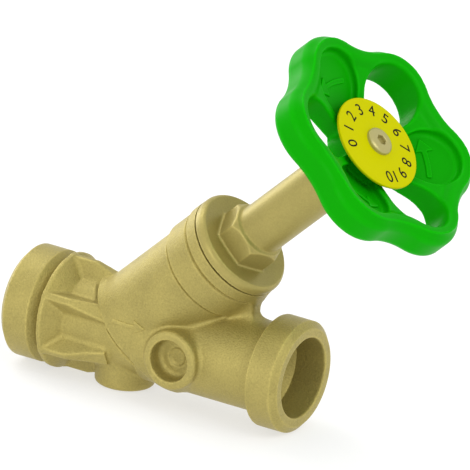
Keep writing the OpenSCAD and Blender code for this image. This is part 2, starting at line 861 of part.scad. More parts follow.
module washer_screw() {
    head_top = seat_top - plate_t;
    head_face = head_top - washer_head_h;
    slot_reach = washer_head_r + overshoot;
    color(steel) on_stem() difference() {
        union() {
            rod(washer_screw_r, head_top, washer_screw_end);
            rod(washer_head_r, head_face, head_top);
        }
        translate([-slot_reach, -screw_slot_w / 2, head_face - overshoot])
            cube([2 * slot_reach, screw_slot_w, overshoot + screw_slot_depth]);
    }
}

valve_body();
bonnet();
bonnet_o_ring();
top_thrust_washer();
bottom_thrust_washer();
collar_circlip();
guide_bush();
wiper_ring();
spindle();
spindle_o_rings();
handwheel();
indicator_disc();
wheel_screw();
wheel_washer();
disc_carrier();
carrier_o_ring();
carrier_back_ring();
seat_washer();
washer_plate();
washer_screw();
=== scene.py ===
"""Looks of a Y-pattern globe valve: brass casting and headwork, green lobed wheel, yellow disc.

Shapes are worked out as distance fields in millimetres, where a point inside a shape has a negative
value, and each field's zero surface becomes a mesh. Finished meshes are in metres in the row frame.

Sizes are in millimetres where nothing else is said. A name in _r is a radius, in _half half a width,
in _blend the width of a fillet, in _edge or _round that of a rounded edge. Names in _at, _start, _end,
_low, _high and _top are stations along the pipe or the stem, or radii and heights where they say so.
"""

import logging
import math
from collections.abc import Callable
from dataclasses import dataclass, field
from enum import Enum

import bmesh
import bpy
import numpy as np
from mathutils import Matrix


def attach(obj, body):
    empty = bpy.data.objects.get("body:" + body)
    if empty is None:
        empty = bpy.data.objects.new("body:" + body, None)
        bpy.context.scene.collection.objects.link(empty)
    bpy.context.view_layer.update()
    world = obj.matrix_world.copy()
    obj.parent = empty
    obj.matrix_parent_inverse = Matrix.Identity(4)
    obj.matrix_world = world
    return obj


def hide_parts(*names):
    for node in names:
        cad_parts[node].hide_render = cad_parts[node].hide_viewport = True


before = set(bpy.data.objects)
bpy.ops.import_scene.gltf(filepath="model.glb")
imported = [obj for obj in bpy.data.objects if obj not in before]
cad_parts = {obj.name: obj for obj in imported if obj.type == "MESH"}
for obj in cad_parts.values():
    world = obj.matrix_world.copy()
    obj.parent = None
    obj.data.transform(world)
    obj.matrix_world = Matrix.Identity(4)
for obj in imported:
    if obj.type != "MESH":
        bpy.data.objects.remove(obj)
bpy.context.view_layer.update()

log = logging.getLogger("valve")
Array = np.ndarray
Shape = Callable[[Array, Array, Array], Array]
Corners = tuple[tuple[float, float], ...]
MM = 0.001
WHITE = (1.0, 1.0, 1.0, 1.0)
# Kept from nothing where a number divides
TINY = 1e-9
SIXTH = math.pi / 3.0
# Radius below the axis, where a turned profile closes, and a distance past any shape
UNDER = -1.0
FAR = 50.0
# Distance to each side over which a slope is taken, and at which edges and hollows are felt, in millimetres
SLOPE_REACH = 0.05
EDGE_REACH = 0.5
HOLLOW_REACH = 1.2
# Weight that holds a cell's point to its crossings' mean
MEAN_HOLD = 0.06
# Least bending at which cells stay apart, and cosine of the angle that makes an edge sharp
FLAT_BEND = 0.06
CREASE = 0.87
# Least length of a block's mean normal at which its cells may become one
ONE_WAY = 0.97
# Share of a cell beside its walls that its point keeps out of, so that no two points meet
CELL_EDGE = 0.02
# Weight of a diagonal's length against bending, and what keeps a folded face from being split there
LENGTH_WEIGHT = 0.05
FOLDED = 9.0
# Middle of the edge measure, which a flat face has, and the scale of its bending
FLAT_EDGE = 0.5
BEND_SCALE = 0.4
# Added to a normal's turned copy, so that the two never point the same way
SKEW = 0.1
# Edge measures that are left flat, those at which hollows and edges get the strongest painted highlight,
# and the painted highlights' gains
FLAT_BAND = (0.46, 0.54)
HOLLOW_END = 0.3
EDGE_END = 0.75
HOLLOW_GAIN = 0.1
EDGE_GAIN = 0.2
# Share of its colour that a flat face keeps where edges and hollows get painted highlights
PLAIN = 0.8
# Layers of grain and patches, the finer layers' strength, the patches' share in the tone and its band
GRAIN_LAYERS = 3.0
PATCH_LAYERS = 2.0
GRAIN_ROUGH = 0.6
PATCH_SHARE = 0.35
TONE_BAND = (0.3, 0.7)
# Points to an arc, and the numbers on the disc
ARC_POINTS = 9
MARKS = 11


class Body(Enum):
    """The groups of the frame that new pieces ride on."""

    VALVE = "valve"
    WHEEL = "wheel_and_spindle"


# Distance fields


def join(a: Array, b: Array, blend: float) -> Array:
    """Union with a fillet: the smaller distance, less a parabola where the two are within blend.

    Args:
        a: Distances to the first shape.
        b: Distances to the second shape.
        blend: Width over which the fillet reaches, in millimetres.
    Returns:
        Distances to the joined shape.
    """
    near = np.maximum(blend - np.abs(a - b), 0.0) / max(blend, TINY)
    return np.minimum(a, b) - near * near * blend * 0.25


def meet(a: Array, b: Array, blend: float) -> Array:
    """Intersection with rounded edges, as the union of the two outsides turned round.

    Args:
        a: Distances to the first shape.
        b: Distances to the second shape.
        blend: Width of the rounding, in millimetres.
    Returns:
        Distances to the common part.
    """
    return -join(-a, -b, blend)


def cut(a: Array, b: Array, blend: float) -> Array:
    """Shape a with shape b taken out of it, and the edges between them rounded.

    Args:
        a: Distances to the shape that stays.
        b: Distances to the shape that is taken out.
        blend: Width of the rounding, in millimetres.
    Returns:
        Distances to what is left.
    """
    return -join(-a, b, blend)


def outline(u: Array, v: Array, corners: Corners) -> Array:
    """Distance to a closed polygon: the nearest edge's distance, negative where rays cross it oddly.

    Args:
        u: First coordinate of the points.
        v: Second coordinate of the points.
        corners: The polygon's corners in order.
    Returns:
        Signed distances.
    """
    nearest = np.full(np.broadcast(u, v).shape, np.inf)
    inside = np.zeros(nearest.shape, bool)
    for (ua, va), (ub, vb) in zip(corners, corners[1:] + corners[:1]):
        eu, ev = ub - ua, vb - va
        du, dv = u - ua, v - va
        along = np.clip((du * eu + dv * ev) / (eu * eu + ev * ev), 0.0, 1.0)
        nearest = np.minimum(nearest, (du - eu * along) ** 2 + (dv - ev * along) ** 2)
        spans = (va > v) != (vb > v)
        slope = (ub - ua) / (vb - va) if vb != va else 0.0
        inside ^= spans & (u < ua + (v - va) * slope)
    return np.where(inside, -1.0, 1.0) * np.sqrt(nearest)


def rounded_box(u: Array, v: Array, half: tuple[float, float], corner: Array) -> Array:
    """Distance to a rectangle about the origin whose corners are arcs.

    Args:
        u: First coordinate of the points.
        v: Second coordinate of the points.
        half: Half width and half height.
        corner: Radius of the nearest corner, at each point.
    Returns:
        Signed distances.
    """
    qu = np.abs(u) - half[0] + corner
    qv = np.abs(v) - half[1] + corner
    outside = np.hypot(np.maximum(qu, 0.0), np.maximum(qv, 0.0))
    return np.minimum(np.maximum(qu, qv), 0.0) + outside - corner


def drop_shape(u: Array, v: Array, length: float, small: float, big: float) -> Array:
    """Distance to two circles on the u axis and the straight sides that touch both.

    Args:
        u: Coordinate from the small circle's centre towards the big one.
        v: Coordinate across.
        length: Distance between the centres.
        small: Radius of the small circle, at the origin.
        big: Radius of the big circle.
    Returns:
        Signed distances.
    """
    v = np.abs(v)
    lean = (small - big) / length
    upright = math.sqrt(1.0 - lean * lean)
    where = -lean * v + upright * u
    side = upright * v + lean * u - small
    near_small = np.hypot(u, v) - small
    near_big = np.hypot(u - length, v) - big
    return np.where(where < 0.0, near_small, np.where(where > upright * length, near_big, side))


def six_sides(u: Array, v: Array) -> Array:
    """Distance from the axis to the side of a hexagon on which a point lies, a corner on the u axis.

    Args:
        u: First coordinate of the points.
        v: Second coordinate of the points.
    Returns:
        The largest of the points' distances along the three sides' normals.
    """
    sides = np.abs(v) + 0.0 * u
    for angle in (SIXTH / 2.0, -SIXTH / 2.0):
        sides = np.maximum(sides, np.abs(u * math.cos(angle) + v * math.sin(angle)))
    return sides


def six_fold(u: Array, v: Array) -> tuple[Array, Array]:
    """Turns points onto the nearest of six rays, by taking whole sixths of a turn off their angle.

    Args:
        u: First coordinate of the points. The first ray lies on its axis.
        v: Second coordinate of the points.
    Returns:
        The points' coordinates along the ray and across it.
    """
    turn = np.arctan2(v, u)
    folded = turn - SIXTH * np.round(turn / SIXTH)
    rho = np.hypot(u, v)
    return rho * np.cos(folded), rho * np.abs(np.sin(folded))


def arc(centre: tuple[float, float], half: tuple[float, float], turn: float) -> Corners:
    """Corners along an ellipse: its centre plus the half widths times the sine and cosine of the angle.

    Args:
        centre: Station and radius of the ellipse's centre.
        half: Its half widths along the stem and across.
        turn: Angle that the arc covers, from straight out towards higher stations.
    Returns:
        Stations and radii of the corners.
    """
    (t, rho), (high, wide) = centre, half
    angles = np.linspace(0.0, turn, ARC_POINTS).tolist()
    return tuple((t + high * math.sin(a), rho + wide * math.cos(a)) for a in angles)


@dataclass(frozen=True)
class Block:
    """A box of evenly spaced points, in millimetres."""

    low: tuple[float, float, float]
    high: tuple[float, float, float]
    step: float

    def axes(self) -> list[Array]:
        """The points' coordinates, evenly spaced from the lowest corner.

        Returns:
            One array for each axis, shaped so that they combine into the grid.
        """
        made = []
        for axis in range(3):
            count = int(math.ceil((self.high[axis] - self.low[axis]) / self.step)) + 1
            shape = [1, 1, 1]
            shape[axis] = count
            made.append((self.low[axis] + self.step * np.arange(count)).reshape(shape))
        return made


@dataclass(frozen=True)
class Arrow:
    """A raised arrow: its shaft and head in plan, and how thick it is."""

    shaft_back: float
    shaft_half: tuple[float, float]
    head: Corners
    blend: float
    half: float
    corner: float = 0.4
    edge: float = 0.35

    def on(self, u: Array, v: Array, height: Array) -> Array:
        """Distance to the arrow: shaft and head joined in plan, met with a thin layer on a face.

        Args:
            u: Coordinate along the arrow.
            v: Coordinate across it.
            height: Distance from the face that carries it.
        Returns:
            Signed distances.
        """
        shaft = rounded_box(u + self.shaft_back, v, self.shaft_half, np.full(1, self.corner))
        plan = join(shaft, outline(u, v, self.head), self.blend)
        return meet(plan, np.abs(height) - self.half, self.edge)


@dataclass
class Skin:
    """A surface in millimetres, with a normal at each face corner and a measure of edges at each point."""

    points: Array
    faces: Array
    normals: Array
    edges: Array


def slopes_at(shape: Shape, points: Array) -> Array:
    """Unit slopes of a field, from its values a little to both sides along each axis.

    Args:
        shape: The field.
        points: Where the slopes are taken, in millimetres.
    Returns:
        A direction of length one for each point, the way the distance grows.
    """
    x, y, z = points.T
    h = SLOPE_REACH
    slope = np.stack([
        shape(x + h, y, z) - shape(x - h, y, z),
        shape(x, y + h, z) - shape(x, y - h, z),
        shape(x, y, z + h) - shape(x, y, z - h),
    ], 1)
    return slope / np.maximum(np.linalg.norm(slope, axis=1, keepdims=True), TINY)


def crossings(values: Array, axis: int) -> tuple[Array, Array, Array]:
    """Grid edges along one axis where a field changes sign.

    Args:
        values: Distances on the grid.
        axis: Which axis the edges run along.
    Returns:
        The crossing places in steps, the four cells round each edge in order, and whether each edge
        starts inside the shape.
    """
    one, two = (axis + 1) % 3, (axis + 2) % 3
    along = np.eye(3, dtype=int)
    count = values.shape[axis]
    inside = values < 0.0
    hits = np.argwhere(inside.take(range(count - 1), axis) != inside.take(range(1, count), axis))
    start = values[tuple(hits.T)]
    end = values[tuple((hits + along[axis]).T)]
    places = hits + (start / (start - end))[:, None] * along[axis]
    cells = np.array(values.shape) - 1
    turns = ((1, 1), (0, 1), (0, 0), (1, 0))
    ring = [hits - back_one * along[one] - back_two * along[two] for back_one, back_two in turns]
    numbers = [np.ravel_multi_index(tuple(cell.T), tuple(cells)) for cell in ring]
    return places, np.stack(numbers, 1), start < 0.0


def gather(index: Array, amounts: Array, count: int) -> Array:
    """Sums the rows of amounts that share an index, column by column."""
    return np.stack([np.bincount(index, column, count) for column in amounts.T], 1)


def skin_of(shape: Shape, block: Block) -> Skin:
    """Zero surface of a field: one point in each cell that it crosses, and a face round each crossing.

    Each grid edge that crosses the surface gives a plane through the crossing, square to the slope
    there. A cell's point is the one nearest to all of its planes in the sense of least squares, held
    weakly to the crossings' mean, so that it lies on a sharp edge where there is one. Where the surface
    hardly bends, the points of two by two by two cells become one.

    Args:
        shape: The field.
        block: Where to look for the surface.
    Returns:
        The surface, as triangles that face outwards.
    """
    values = shape(*block.axes())
    found = [crossings(values, axis) for axis in range(3)]
    places = np.concatenate([f[0] for f in found])
    ring = np.concatenate([np.where(f[2][:, None], f[1], f[1][:, ::-1]) for f in found])
    planes = slopes_at(shape, np.array(block.low) + places * block.step)
    numbers, quads = np.unique(ring, return_inverse=True)
    quads = quads.reshape(ring.shape)
    index, total = quads.ravel(), len(numbers)
    mean = gather(index, np.repeat(places, 4, 0), total) / np.bincount(index)[:, None]
    normal = np.repeat(planes, 4, 0)
    offset = (normal * (np.repeat(places, 4, 0) - mean[index])).sum(1)
    spread = (normal[:, :, None] * normal[:, None, :]).reshape(-1, 9)
    matrix = gather(index, spread, total).reshape(-1, 3, 3) + MEAN_HOLD * np.eye(3)
    pull = gather(index, normal * offset[:, None], total)
    cell = np.stack(np.unravel_index(numbers, tuple(np.array(values.shape) - 1)), 1)
    at = mean + np.linalg.solve(matrix, pull[:, :, None])[:, :, 0]
    at = np.clip(at, cell + CELL_EDGE, cell + 1.0 - CELL_EDGE)
    points = np.array(block.low) + at * block.step
    hollow = np.minimum(bend_at(shape, points, HOLLOW_REACH) + FLAT_BEND, 0.0)
    bend = bend_at(shape, points, EDGE_REACH) + hollow
    facing = gather(index, normal, total) / np.bincount(index)[:, None]
    label = flat_groups(cell, np.abs(bend) < FLAT_BEND, facing)
    share = np.bincount(label)[:, None]
    count = len(share)
    points = gather(label, points, count) / share
    bend = np.bincount(label, bend) / share[:, 0]
    faces = triangles(label[quads], points, np.abs(bend))
    return dressed(shape, points, faces, bend)


def flat_groups(cell: Array, flat: Array, facing: Array) -> Array:
    """Numbers the points so that those of a two by two by two block of cells share one where all are flat.

    Args:
        cell: Each point's cell, as three whole numbers.
        flat: Whether the surface hardly bends at each point.
        facing: The mean normal in each cell. A block whose cells face different ways keeps its points.
    Returns:
        A number for each point, counting from nothing.
    """
    coarse = cell // 2
    key = np.ravel_multi_index(tuple(coarse.T), tuple(coarse.max(0) + 1))
    group = np.unique(key, return_inverse=True)[1]
    bent = np.bincount(group, ~flat) > 0
    together = gather(group, facing, len(bent)) / np.bincount(group)[:, None]
    bent |= np.linalg.norm(together, axis=1) < ONE_WAY
    alone = len(bent) + np.arange(len(group))
    return np.unique(np.where(bent[group], alone, group), return_inverse=True)[1]


def triangles(quads: Array, points: Array, bend: Array) -> Array:
    """Splits four-sided faces along the diagonal whose ends bend most, and leaves out empty halves.

    Args:
        quads: Faces, which may hold a point twice.
        points: The surface's points.
        bend: How much the surface bends at each point.
    Returns:
        Faces of three points.
    """
    a, b, c, d = quads.T
    near, far = (np.linalg.norm(points[i] - points[j], axis=1) for i, j in ((a, c), (b, d)))
    first = bend[a] + bend[c] - LENGTH_WEIGHT * near + FOLDED * (a == c)
    second = bend[b] + bend[d] - LENGTH_WEIGHT * far + FOLDED * (b == d)
    split = (first > second)[:, None]
    halves = [
        np.where(split, np.stack([a, b, c], 1), np.stack([b, c, d], 1)),
        np.where(split, np.stack([a, c, d], 1), np.stack([b, d, a], 1)),
    ]
    faces = np.concatenate(halves)
    a, b, c = faces.T
    return faces[(a != b) & (b != c) & (c != a)]


def dressed(shape: Shape, points: Array, faces: Array, bend: Array) -> Skin:
    """Adds normals: a point's own slope, or the face middle's where that differs, as at a sharp edge.

    Args:
        shape: The field.
        points: The surface's points.
        faces: Its triangles.
        bend: How much the surface bends at each point.
    Returns:
        The surface with a normal for each face corner.
    """
    own = slopes_at(shape, points)[faces]
    middle = slopes_at(shape, points[faces].mean(1))[:, None, :]
    sharp = (own * middle).sum(2) < CREASE
    normals = np.where(sharp[:, :, None], middle, own)
    return Skin(points, faces, normals, np.clip(FLAT_EDGE + bend, 0.0, 1.0))


def bend_at(shape: Shape, points: Array, reach: float) -> Array:
    """How sharply the surface turns: the field's mean at four places a reach away across the surface.

    Beside a flat face the distances there are nothing. They are positive round an edge and negative
    round a hollow.

    Args:
        shape: The field.
        points: Points of the surface, in millimetres.
        reach: How far away the four places are.
    Returns:
        Numbers above nothing on edges and below it in hollows, at most about one.
    """
    normals = slopes_at(shape, points)
    side = np.cross(normals, np.roll(normals, 1, axis=1) + SKEW)
    side = side / np.maximum(np.linalg.norm(side, axis=1, keepdims=True), TINY)
    other = np.cross(normals, side)
    ways = (side, -side, other, -other)
    return sum(shape(*(points + way * reach).T) for way in ways) * BEND_SCALE / reach


# The stem's own axes, leaned over from the pipe's


@dataclass(frozen=True)
class Stem:
    """Places shapes that are drawn along the stem, from the crossing of the stem and pipe axes."""

    cross_x: float = 34.4
    lean: float = math.radians(45.0)

    def turn(self) -> Array:
        """Rows are the stem's side, cross and length directions in the row frame."""
        c, s = math.cos(self.lean), math.sin(self.lean)
        return np.array([[c, 0.0, -s], [0.0, 1.0, 0.0], [s, 0.0, c]])

    def to_row(self, skin: Skin) -> Skin:
        """Leans a surface over: its points times the turn, moved to the crossing.

        Args:
            skin: A surface that was drawn on the stem.
        Returns:
            The same surface in the row frame.
        """
        return Skin(self.place(skin.points), skin.faces, skin.normals @ self.turn(), skin.edges)

    def place(self, points: Array) -> Array:
        """Points that were drawn on the stem, in the row frame."""
        return points @ self.turn() + np.array([self.cross_x, 0.0, 0.0])

    def across(self, x: Array, z: Array) -> Array:
        """Coordinate on the stem's side direction of points in the row frame."""
        return (x - self.cross_x) * math.cos(self.lean) - z * math.sin(self.lean)

    def along(self, x: Array, z: Array) -> Array:
        """Station on the stem of points in the row frame."""
        return (x - self.cross_x) * math.sin(self.lean) + z * math.cos(self.lean)


STEM = Stem()


# Finishes


@dataclass
class Shader:
    """A material under construction, with short ways to add and link nodes."""

    name: str
    material: bpy.types.Material = field(init=False)

    def __post_init__(self) -> None:
        """Starts the node tree with its shader, output and object coordinates."""
        self.material = bpy.data.materials.new(self.name)
        self.material.use_nodes = True
        nodes = self.material.node_tree.nodes
        self.surface = nodes["Principled BSDF"]
        self.place = self.add("ShaderNodeTexCoord").outputs["Object"]

    def add(self, kind: str) -> bpy.types.Node:
        """A new node of a kind."""
        return self.material.node_tree.nodes.new(kind)

    def link(self, source: bpy.types.NodeSocket, target: bpy.types.NodeSocket) -> None:
        """Joins an output to an input."""
        self.material.node_tree.links.new(source, target)

    def noise(self, per_mm: float, detail: float, rough: float = 0.5) -> bpy.types.NodeSocket:
        """Cloudy pattern in space.

        Args:
            per_mm: How many lumps there are to a millimetre.
            detail: How many finer layers are added.
            rough: How strong the finer layers are.
        Returns:
            The pattern's value.
        """
        node = self.add("ShaderNodeTexNoise")
        node.inputs["Scale"].default_value = per_mm / MM
        node.inputs["Detail"].default_value = detail
        node.inputs["Roughness"].default_value = rough
        self.link(self.place, node.inputs["Vector"])
        return node.outputs["Fac"]

    def ramp(
        self, value: bpy.types.NodeSocket, stops: list[tuple[float, tuple[float, float, float]]]
    ) -> bpy.types.NodeSocket:
        """Colours over a value.

        Args:
            value: What picks the colour.
            stops: Places from 0 to 1, each with a linear colour.
        Returns:
            The colour.
        """
        node = self.add("ShaderNodeValToRGB")
        bar = node.color_ramp
        while len(bar.elements) < len(stops):
            bar.elements.new(0.5)
        for element, (place, colour) in zip(bar.elements, stops):
            element.position = place
            element.color = (*colour, 1.0)
        self.link(value, node.inputs["Fac"])
        return node.outputs["Color"]

    def shift(self, value: bpy.types.NodeSocket, low: float, high: float) -> bpy.types.NodeSocket:
        """Spreads a value evenly over a range.

        Args:
            value: What is spread, from 0 to 1.
            low: The result at 0.
            high: The result at 1.
        Returns:
            The result.
        """
        node = self.add("ShaderNodeMapRange")
        node.inputs["To Min"].default_value = low
        node.inputs["To Max"].default_value = high
        self.link(value, node.inputs["Value"])
        return node.outputs["Result"]

    def bump(
        self, height: bpy.types.NodeSocket, depth_mm: float, strength: float
    ) -> bpy.types.NodeSocket:
        """Relief from a height.

        Args:
            height: Pattern of heights from 0 to 1.
            depth_mm: Height difference that the pattern stands for.
            strength: Share of the relief that is used.
        Returns:
            The normal.
        """
        node = self.add("ShaderNodeBump")
        node.inputs["Strength"].default_value = strength
        node.inputs["Distance"].default_value = depth_mm * MM
        self.link(height, node.inputs["Height"])
        return node.outputs["Normal"]

    def worn(self, colour: bpy.types.NodeSocket, gain: float) -> bpy.types.NodeSocket:
        """Paints highlights on edges, and on hollows by half as much, by the mesh's own edge attribute:
        painted glints of rounded edges and fillets.

        Args:
            colour: The colour before.
            gain: How strong the painted highlights are, from 0 to 1.
        Returns:
            The colour after.
        """
        edge = self.add("ShaderNodeAttribute")
        edge.attribute_name = "edge"
        # Painted highlight: the ramp's tones brighten edges and hollows over the flat faces' share of the
        # colour.
        tones = [
            (HOLLOW_END, PLAIN + HOLLOW_GAIN * gain), (FLAT_BAND[0], PLAIN),
            (FLAT_BAND[1], PLAIN), (EDGE_END, PLAIN + EDGE_GAIN * gain),
        ]
        light = self.ramp(edge.outputs["Fac"], [(place, (tone,) * 3) for place, tone in tones])
        mix = self.add("ShaderNodeMix")
        mix.data_type = "RGBA"
        mix.blend_type = "MULTIPLY"
        mix.inputs[0].default_value = 1.0
        self.link(colour, mix.inputs[6])
        self.link(light, mix.inputs[7])
        return mix.outputs[2]


def toned(colour: tuple[float, float, float], by: float) -> tuple[float, float, float]:
    """A colour made lighter or darker, none of its parts above one."""
    r, g, b = colour
    return (min(r * by, 1.0), min(g * by, 1.0), min(b * by, 1.0))


@dataclass(frozen=True)
class Finish:
    """A surface with fine relief and a slight spread of tone, both worked out in space."""

    name: str
    colour: tuple[float, float, float]
    rough: float
    metal: float = 0.0
    spread: float = 0.06
    grain_per_mm: float = 1.6
    grain_mm: float = 0.05
    grain_strength: float = 0.3
    patch_per_mm: float = 0.12
    rough_spread: float = 0.05
    specular: float = 0.5
    edge_gain: float = 0.0
    glow: float = 0.0

    def make(self) -> bpy.types.Material:
        """Builds it: tone from patches and grain together, painted highlights on edges and hollows where it
        has a gain for them, roughness from patches, relief from grain.

        Returns:
            The material.
        """
        shader = Shader(self.name)
        grain = shader.noise(self.grain_per_mm, GRAIN_LAYERS, GRAIN_ROUGH)
        patches = shader.noise(self.patch_per_mm, PATCH_LAYERS)
        mix = shader.add("ShaderNodeMix")
        mix.data_type = "FLOAT"
        mix.inputs[0].default_value = PATCH_SHARE
        shader.link(grain, mix.inputs[2])
        shader.link(patches, mix.inputs[3])
        low, high = toned(self.colour, 1.0 - self.spread), toned(self.colour, 1.0 + self.spread)
        colour = shader.ramp(mix.outputs[0], list(zip(TONE_BAND, (low, high))))
        # Painted highlights on edges and hollows, for finishes that carry a gain for them.
        if self.edge_gain > 0.0:
            colour = shader.worn(colour, self.edge_gain)
        shader.link(colour, shader.surface.inputs["Base Color"])
        rough = shader.shift(patches, self.rough - self.rough_spread, self.rough + self.rough_spread)
        shader.link(rough, shader.surface.inputs["Roughness"])
        normal = shader.bump(grain, self.grain_mm, self.grain_strength)
        shader.link(normal, shader.surface.inputs["Normal"])
        shader.surface.inputs["Metallic"].default_value = self.metal
        shader.surface.inputs["Specular IOR Level"].default_value = self.specular
        shader.surface.inputs["Emission Color"].default_value = WHITE
        shader.surface.inputs["Emission Strength"].default_value = self.glow
        return shader.material


# The cast and turned brass and the wheel plastic carry painted highlights on their edges and hollows, by
# their gains.
CAST_BRASS = Finish(
    "cast_brass_skin", (0.485, 0.4, 0.12), rough=0.42, metal=0.45, spread=0.2, specular=0.2,
    grain_per_mm=1.9, grain_mm=0.19, grain_strength=1.0, edge_gain=0.6,
)
TURNED_BRASS = Finish(
    "headwork_brass_skin", (0.465, 0.385, 0.118), rough=0.4, metal=0.45, spread=0.1, specular=0.2,
    grain_per_mm=1.7, grain_mm=0.08, grain_strength=0.7, edge_gain=0.5,
)
INNER_BRASS = Finish(
    "inner_brass_skin", (0.48, 0.4, 0.135), rough=0.4, metal=0.25, spread=0.06,
    grain_per_mm=2.0, grain_mm=0.03, grain_strength=0.4,
)
SCREW_BRASS = Finish(
    "pale_brass_skin", (0.46, 0.41, 0.16), rough=0.33, metal=0.5, spread=0.05,
    grain_per_mm=3.0, grain_mm=0.03, grain_strength=0.3,
)
WHEEL_PLASTIC = Finish(
    "wheel_plastic_skin", (0.004, 0.42, 0.0006), rough=0.34, spread=0.02, specular=0.035,
    grain_per_mm=0.9, grain_mm=0.012, grain_strength=0.2, rough_spread=0.03, edge_gain=0.9,
)
DISC_LACQUER = Finish(
    "disc_lacquer_skin", (0.55, 0.54, 0.0), rough=0.35, spread=0.015, specular=0.02,
    grain_per_mm=1.2, grain_mm=0.01, grain_strength=0.2, rough_spread=0.03,
)
PRINT_INK = Finish(
    "disc_print_skin", (0.004, 0.004, 0.003), rough=0.5, spread=0.2, specular=0.1,
    grain_per_mm=4.0, grain_mm=0.01, grain_strength=0.2,
)
SEAL_RUBBER = Finish(
    "seal_rubber_skin", (0.018, 0.018, 0.02), rough=0.62, spread=0.25,
    grain_per_mm=5.0, grain_mm=0.03, grain_strength=0.4,
)
BEARING_PLASTIC = Finish(
    "bearing_plastic_skin", (0.72, 0.72, 0.68), rough=0.45, spread=0.03,
    grain_per_mm=3.0, grain_mm=0.015, grain_strength=0.25,
)
SPINDLE_STEEL = Finish(
    "spindle_steel_skin", (0.5, 0.51, 0.53), rough=0.3, metal=1.0, spread=0.05,
    grain_per_mm=4.0, grain_mm=0.015, grain_strength=0.3,
)
FLOOR_PAINT = Finish(
    "floor_paint_skin", (0.4, 0.4, 0.4), rough=0.9, spread=0.004, specular=0.1,
    grain_per_mm=0.02, grain_mm=0.2, grain_strength=0.05, patch_per_mm=0.002, glow=0.6,
)


# Pieces


def mesh_piece(name: str, skin: Skin, finish: Finish) -> bpy.types.Object:
    """Puts a surface into a new object at the origin, in metres, with its own normals.

    Args:
        name: The piece's name.
        skin: The surface, in millimetres in the row frame.
        finish: What it is made of.
    Returns:
        The object.
    """
    mesh = bpy.data.meshes.new(name)
    count, (faces, corners) = len(skin.points), skin.faces.shape
    mesh.vertices.add(count)
    mesh.vertices.foreach_set("co", (skin.points * MM).astype(np.float32).ravel())
    mesh.loops.add(faces * corners)
    mesh.loops.foreach_set("vertex_index", skin.faces.astype(np.int32).ravel())
    mesh.polygons.add(faces)
    mesh.polygons.foreach_set("loop_start", np.arange(faces, dtype=np.int32) * corners)
    mesh.update(calc_edges=True)
    mesh.validate()
    mesh.shade_smooth()
    mesh.normals_split_custom_set(skin.normals.reshape(-1, 3).tolist())
    edge = mesh.attributes.new("edge", "FLOAT", "POINT")
    edge.data.foreach_set("value", skin.edges.astype(np.float32))
    mesh.materials.append(finish.make())
    log.info("%s: %d points, %d faces", name, count, faces)
    return put_in(name, mesh)


def fit_in(made: bpy.types.Object, body: Body, slot: str, *nodes: str) -> None:
    """Makes a piece ride on a body and lets it stand for its CAD nodes, which it hides.

    Args:
        made: The piece.
        body: What it moves with.
        slot: Name of its material's slot; not used.
        nodes: The CAD nodes that it stands for, none where it only lies on one.
    """
    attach(made, body.value)
    if nodes:
        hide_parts(*nodes)


def put_in(name: str, data: bpy.types.ID) -> bpy.types.Object:
    """Makes an object of a mesh, text, light or camera and puts it into the scene.

    Args:
        name: The object's name.
        data: What it shows.
    Returns:
        The object.
    """
    made = bpy.data.objects.new(name, data)
    bpy.context.scene.collection.objects.link(made)
    return made


def stand(made: bpy.types.Object, axes: tuple[Array, Array, Array], place: Array) -> None:
    """Sets an object's matrix, whose columns are its axes and its place.

    Args:
        made: The object.
        axes: Directions of its right, its top and its back.
        place: Where it stands, in metres.
    """
    rows = [[*(float(way[i]) for way in axes), float(place[i])] for i in range(3)]
    made.matrix_world = Matrix(rows + [[0.0, 0.0, 0.0, 1.0]])


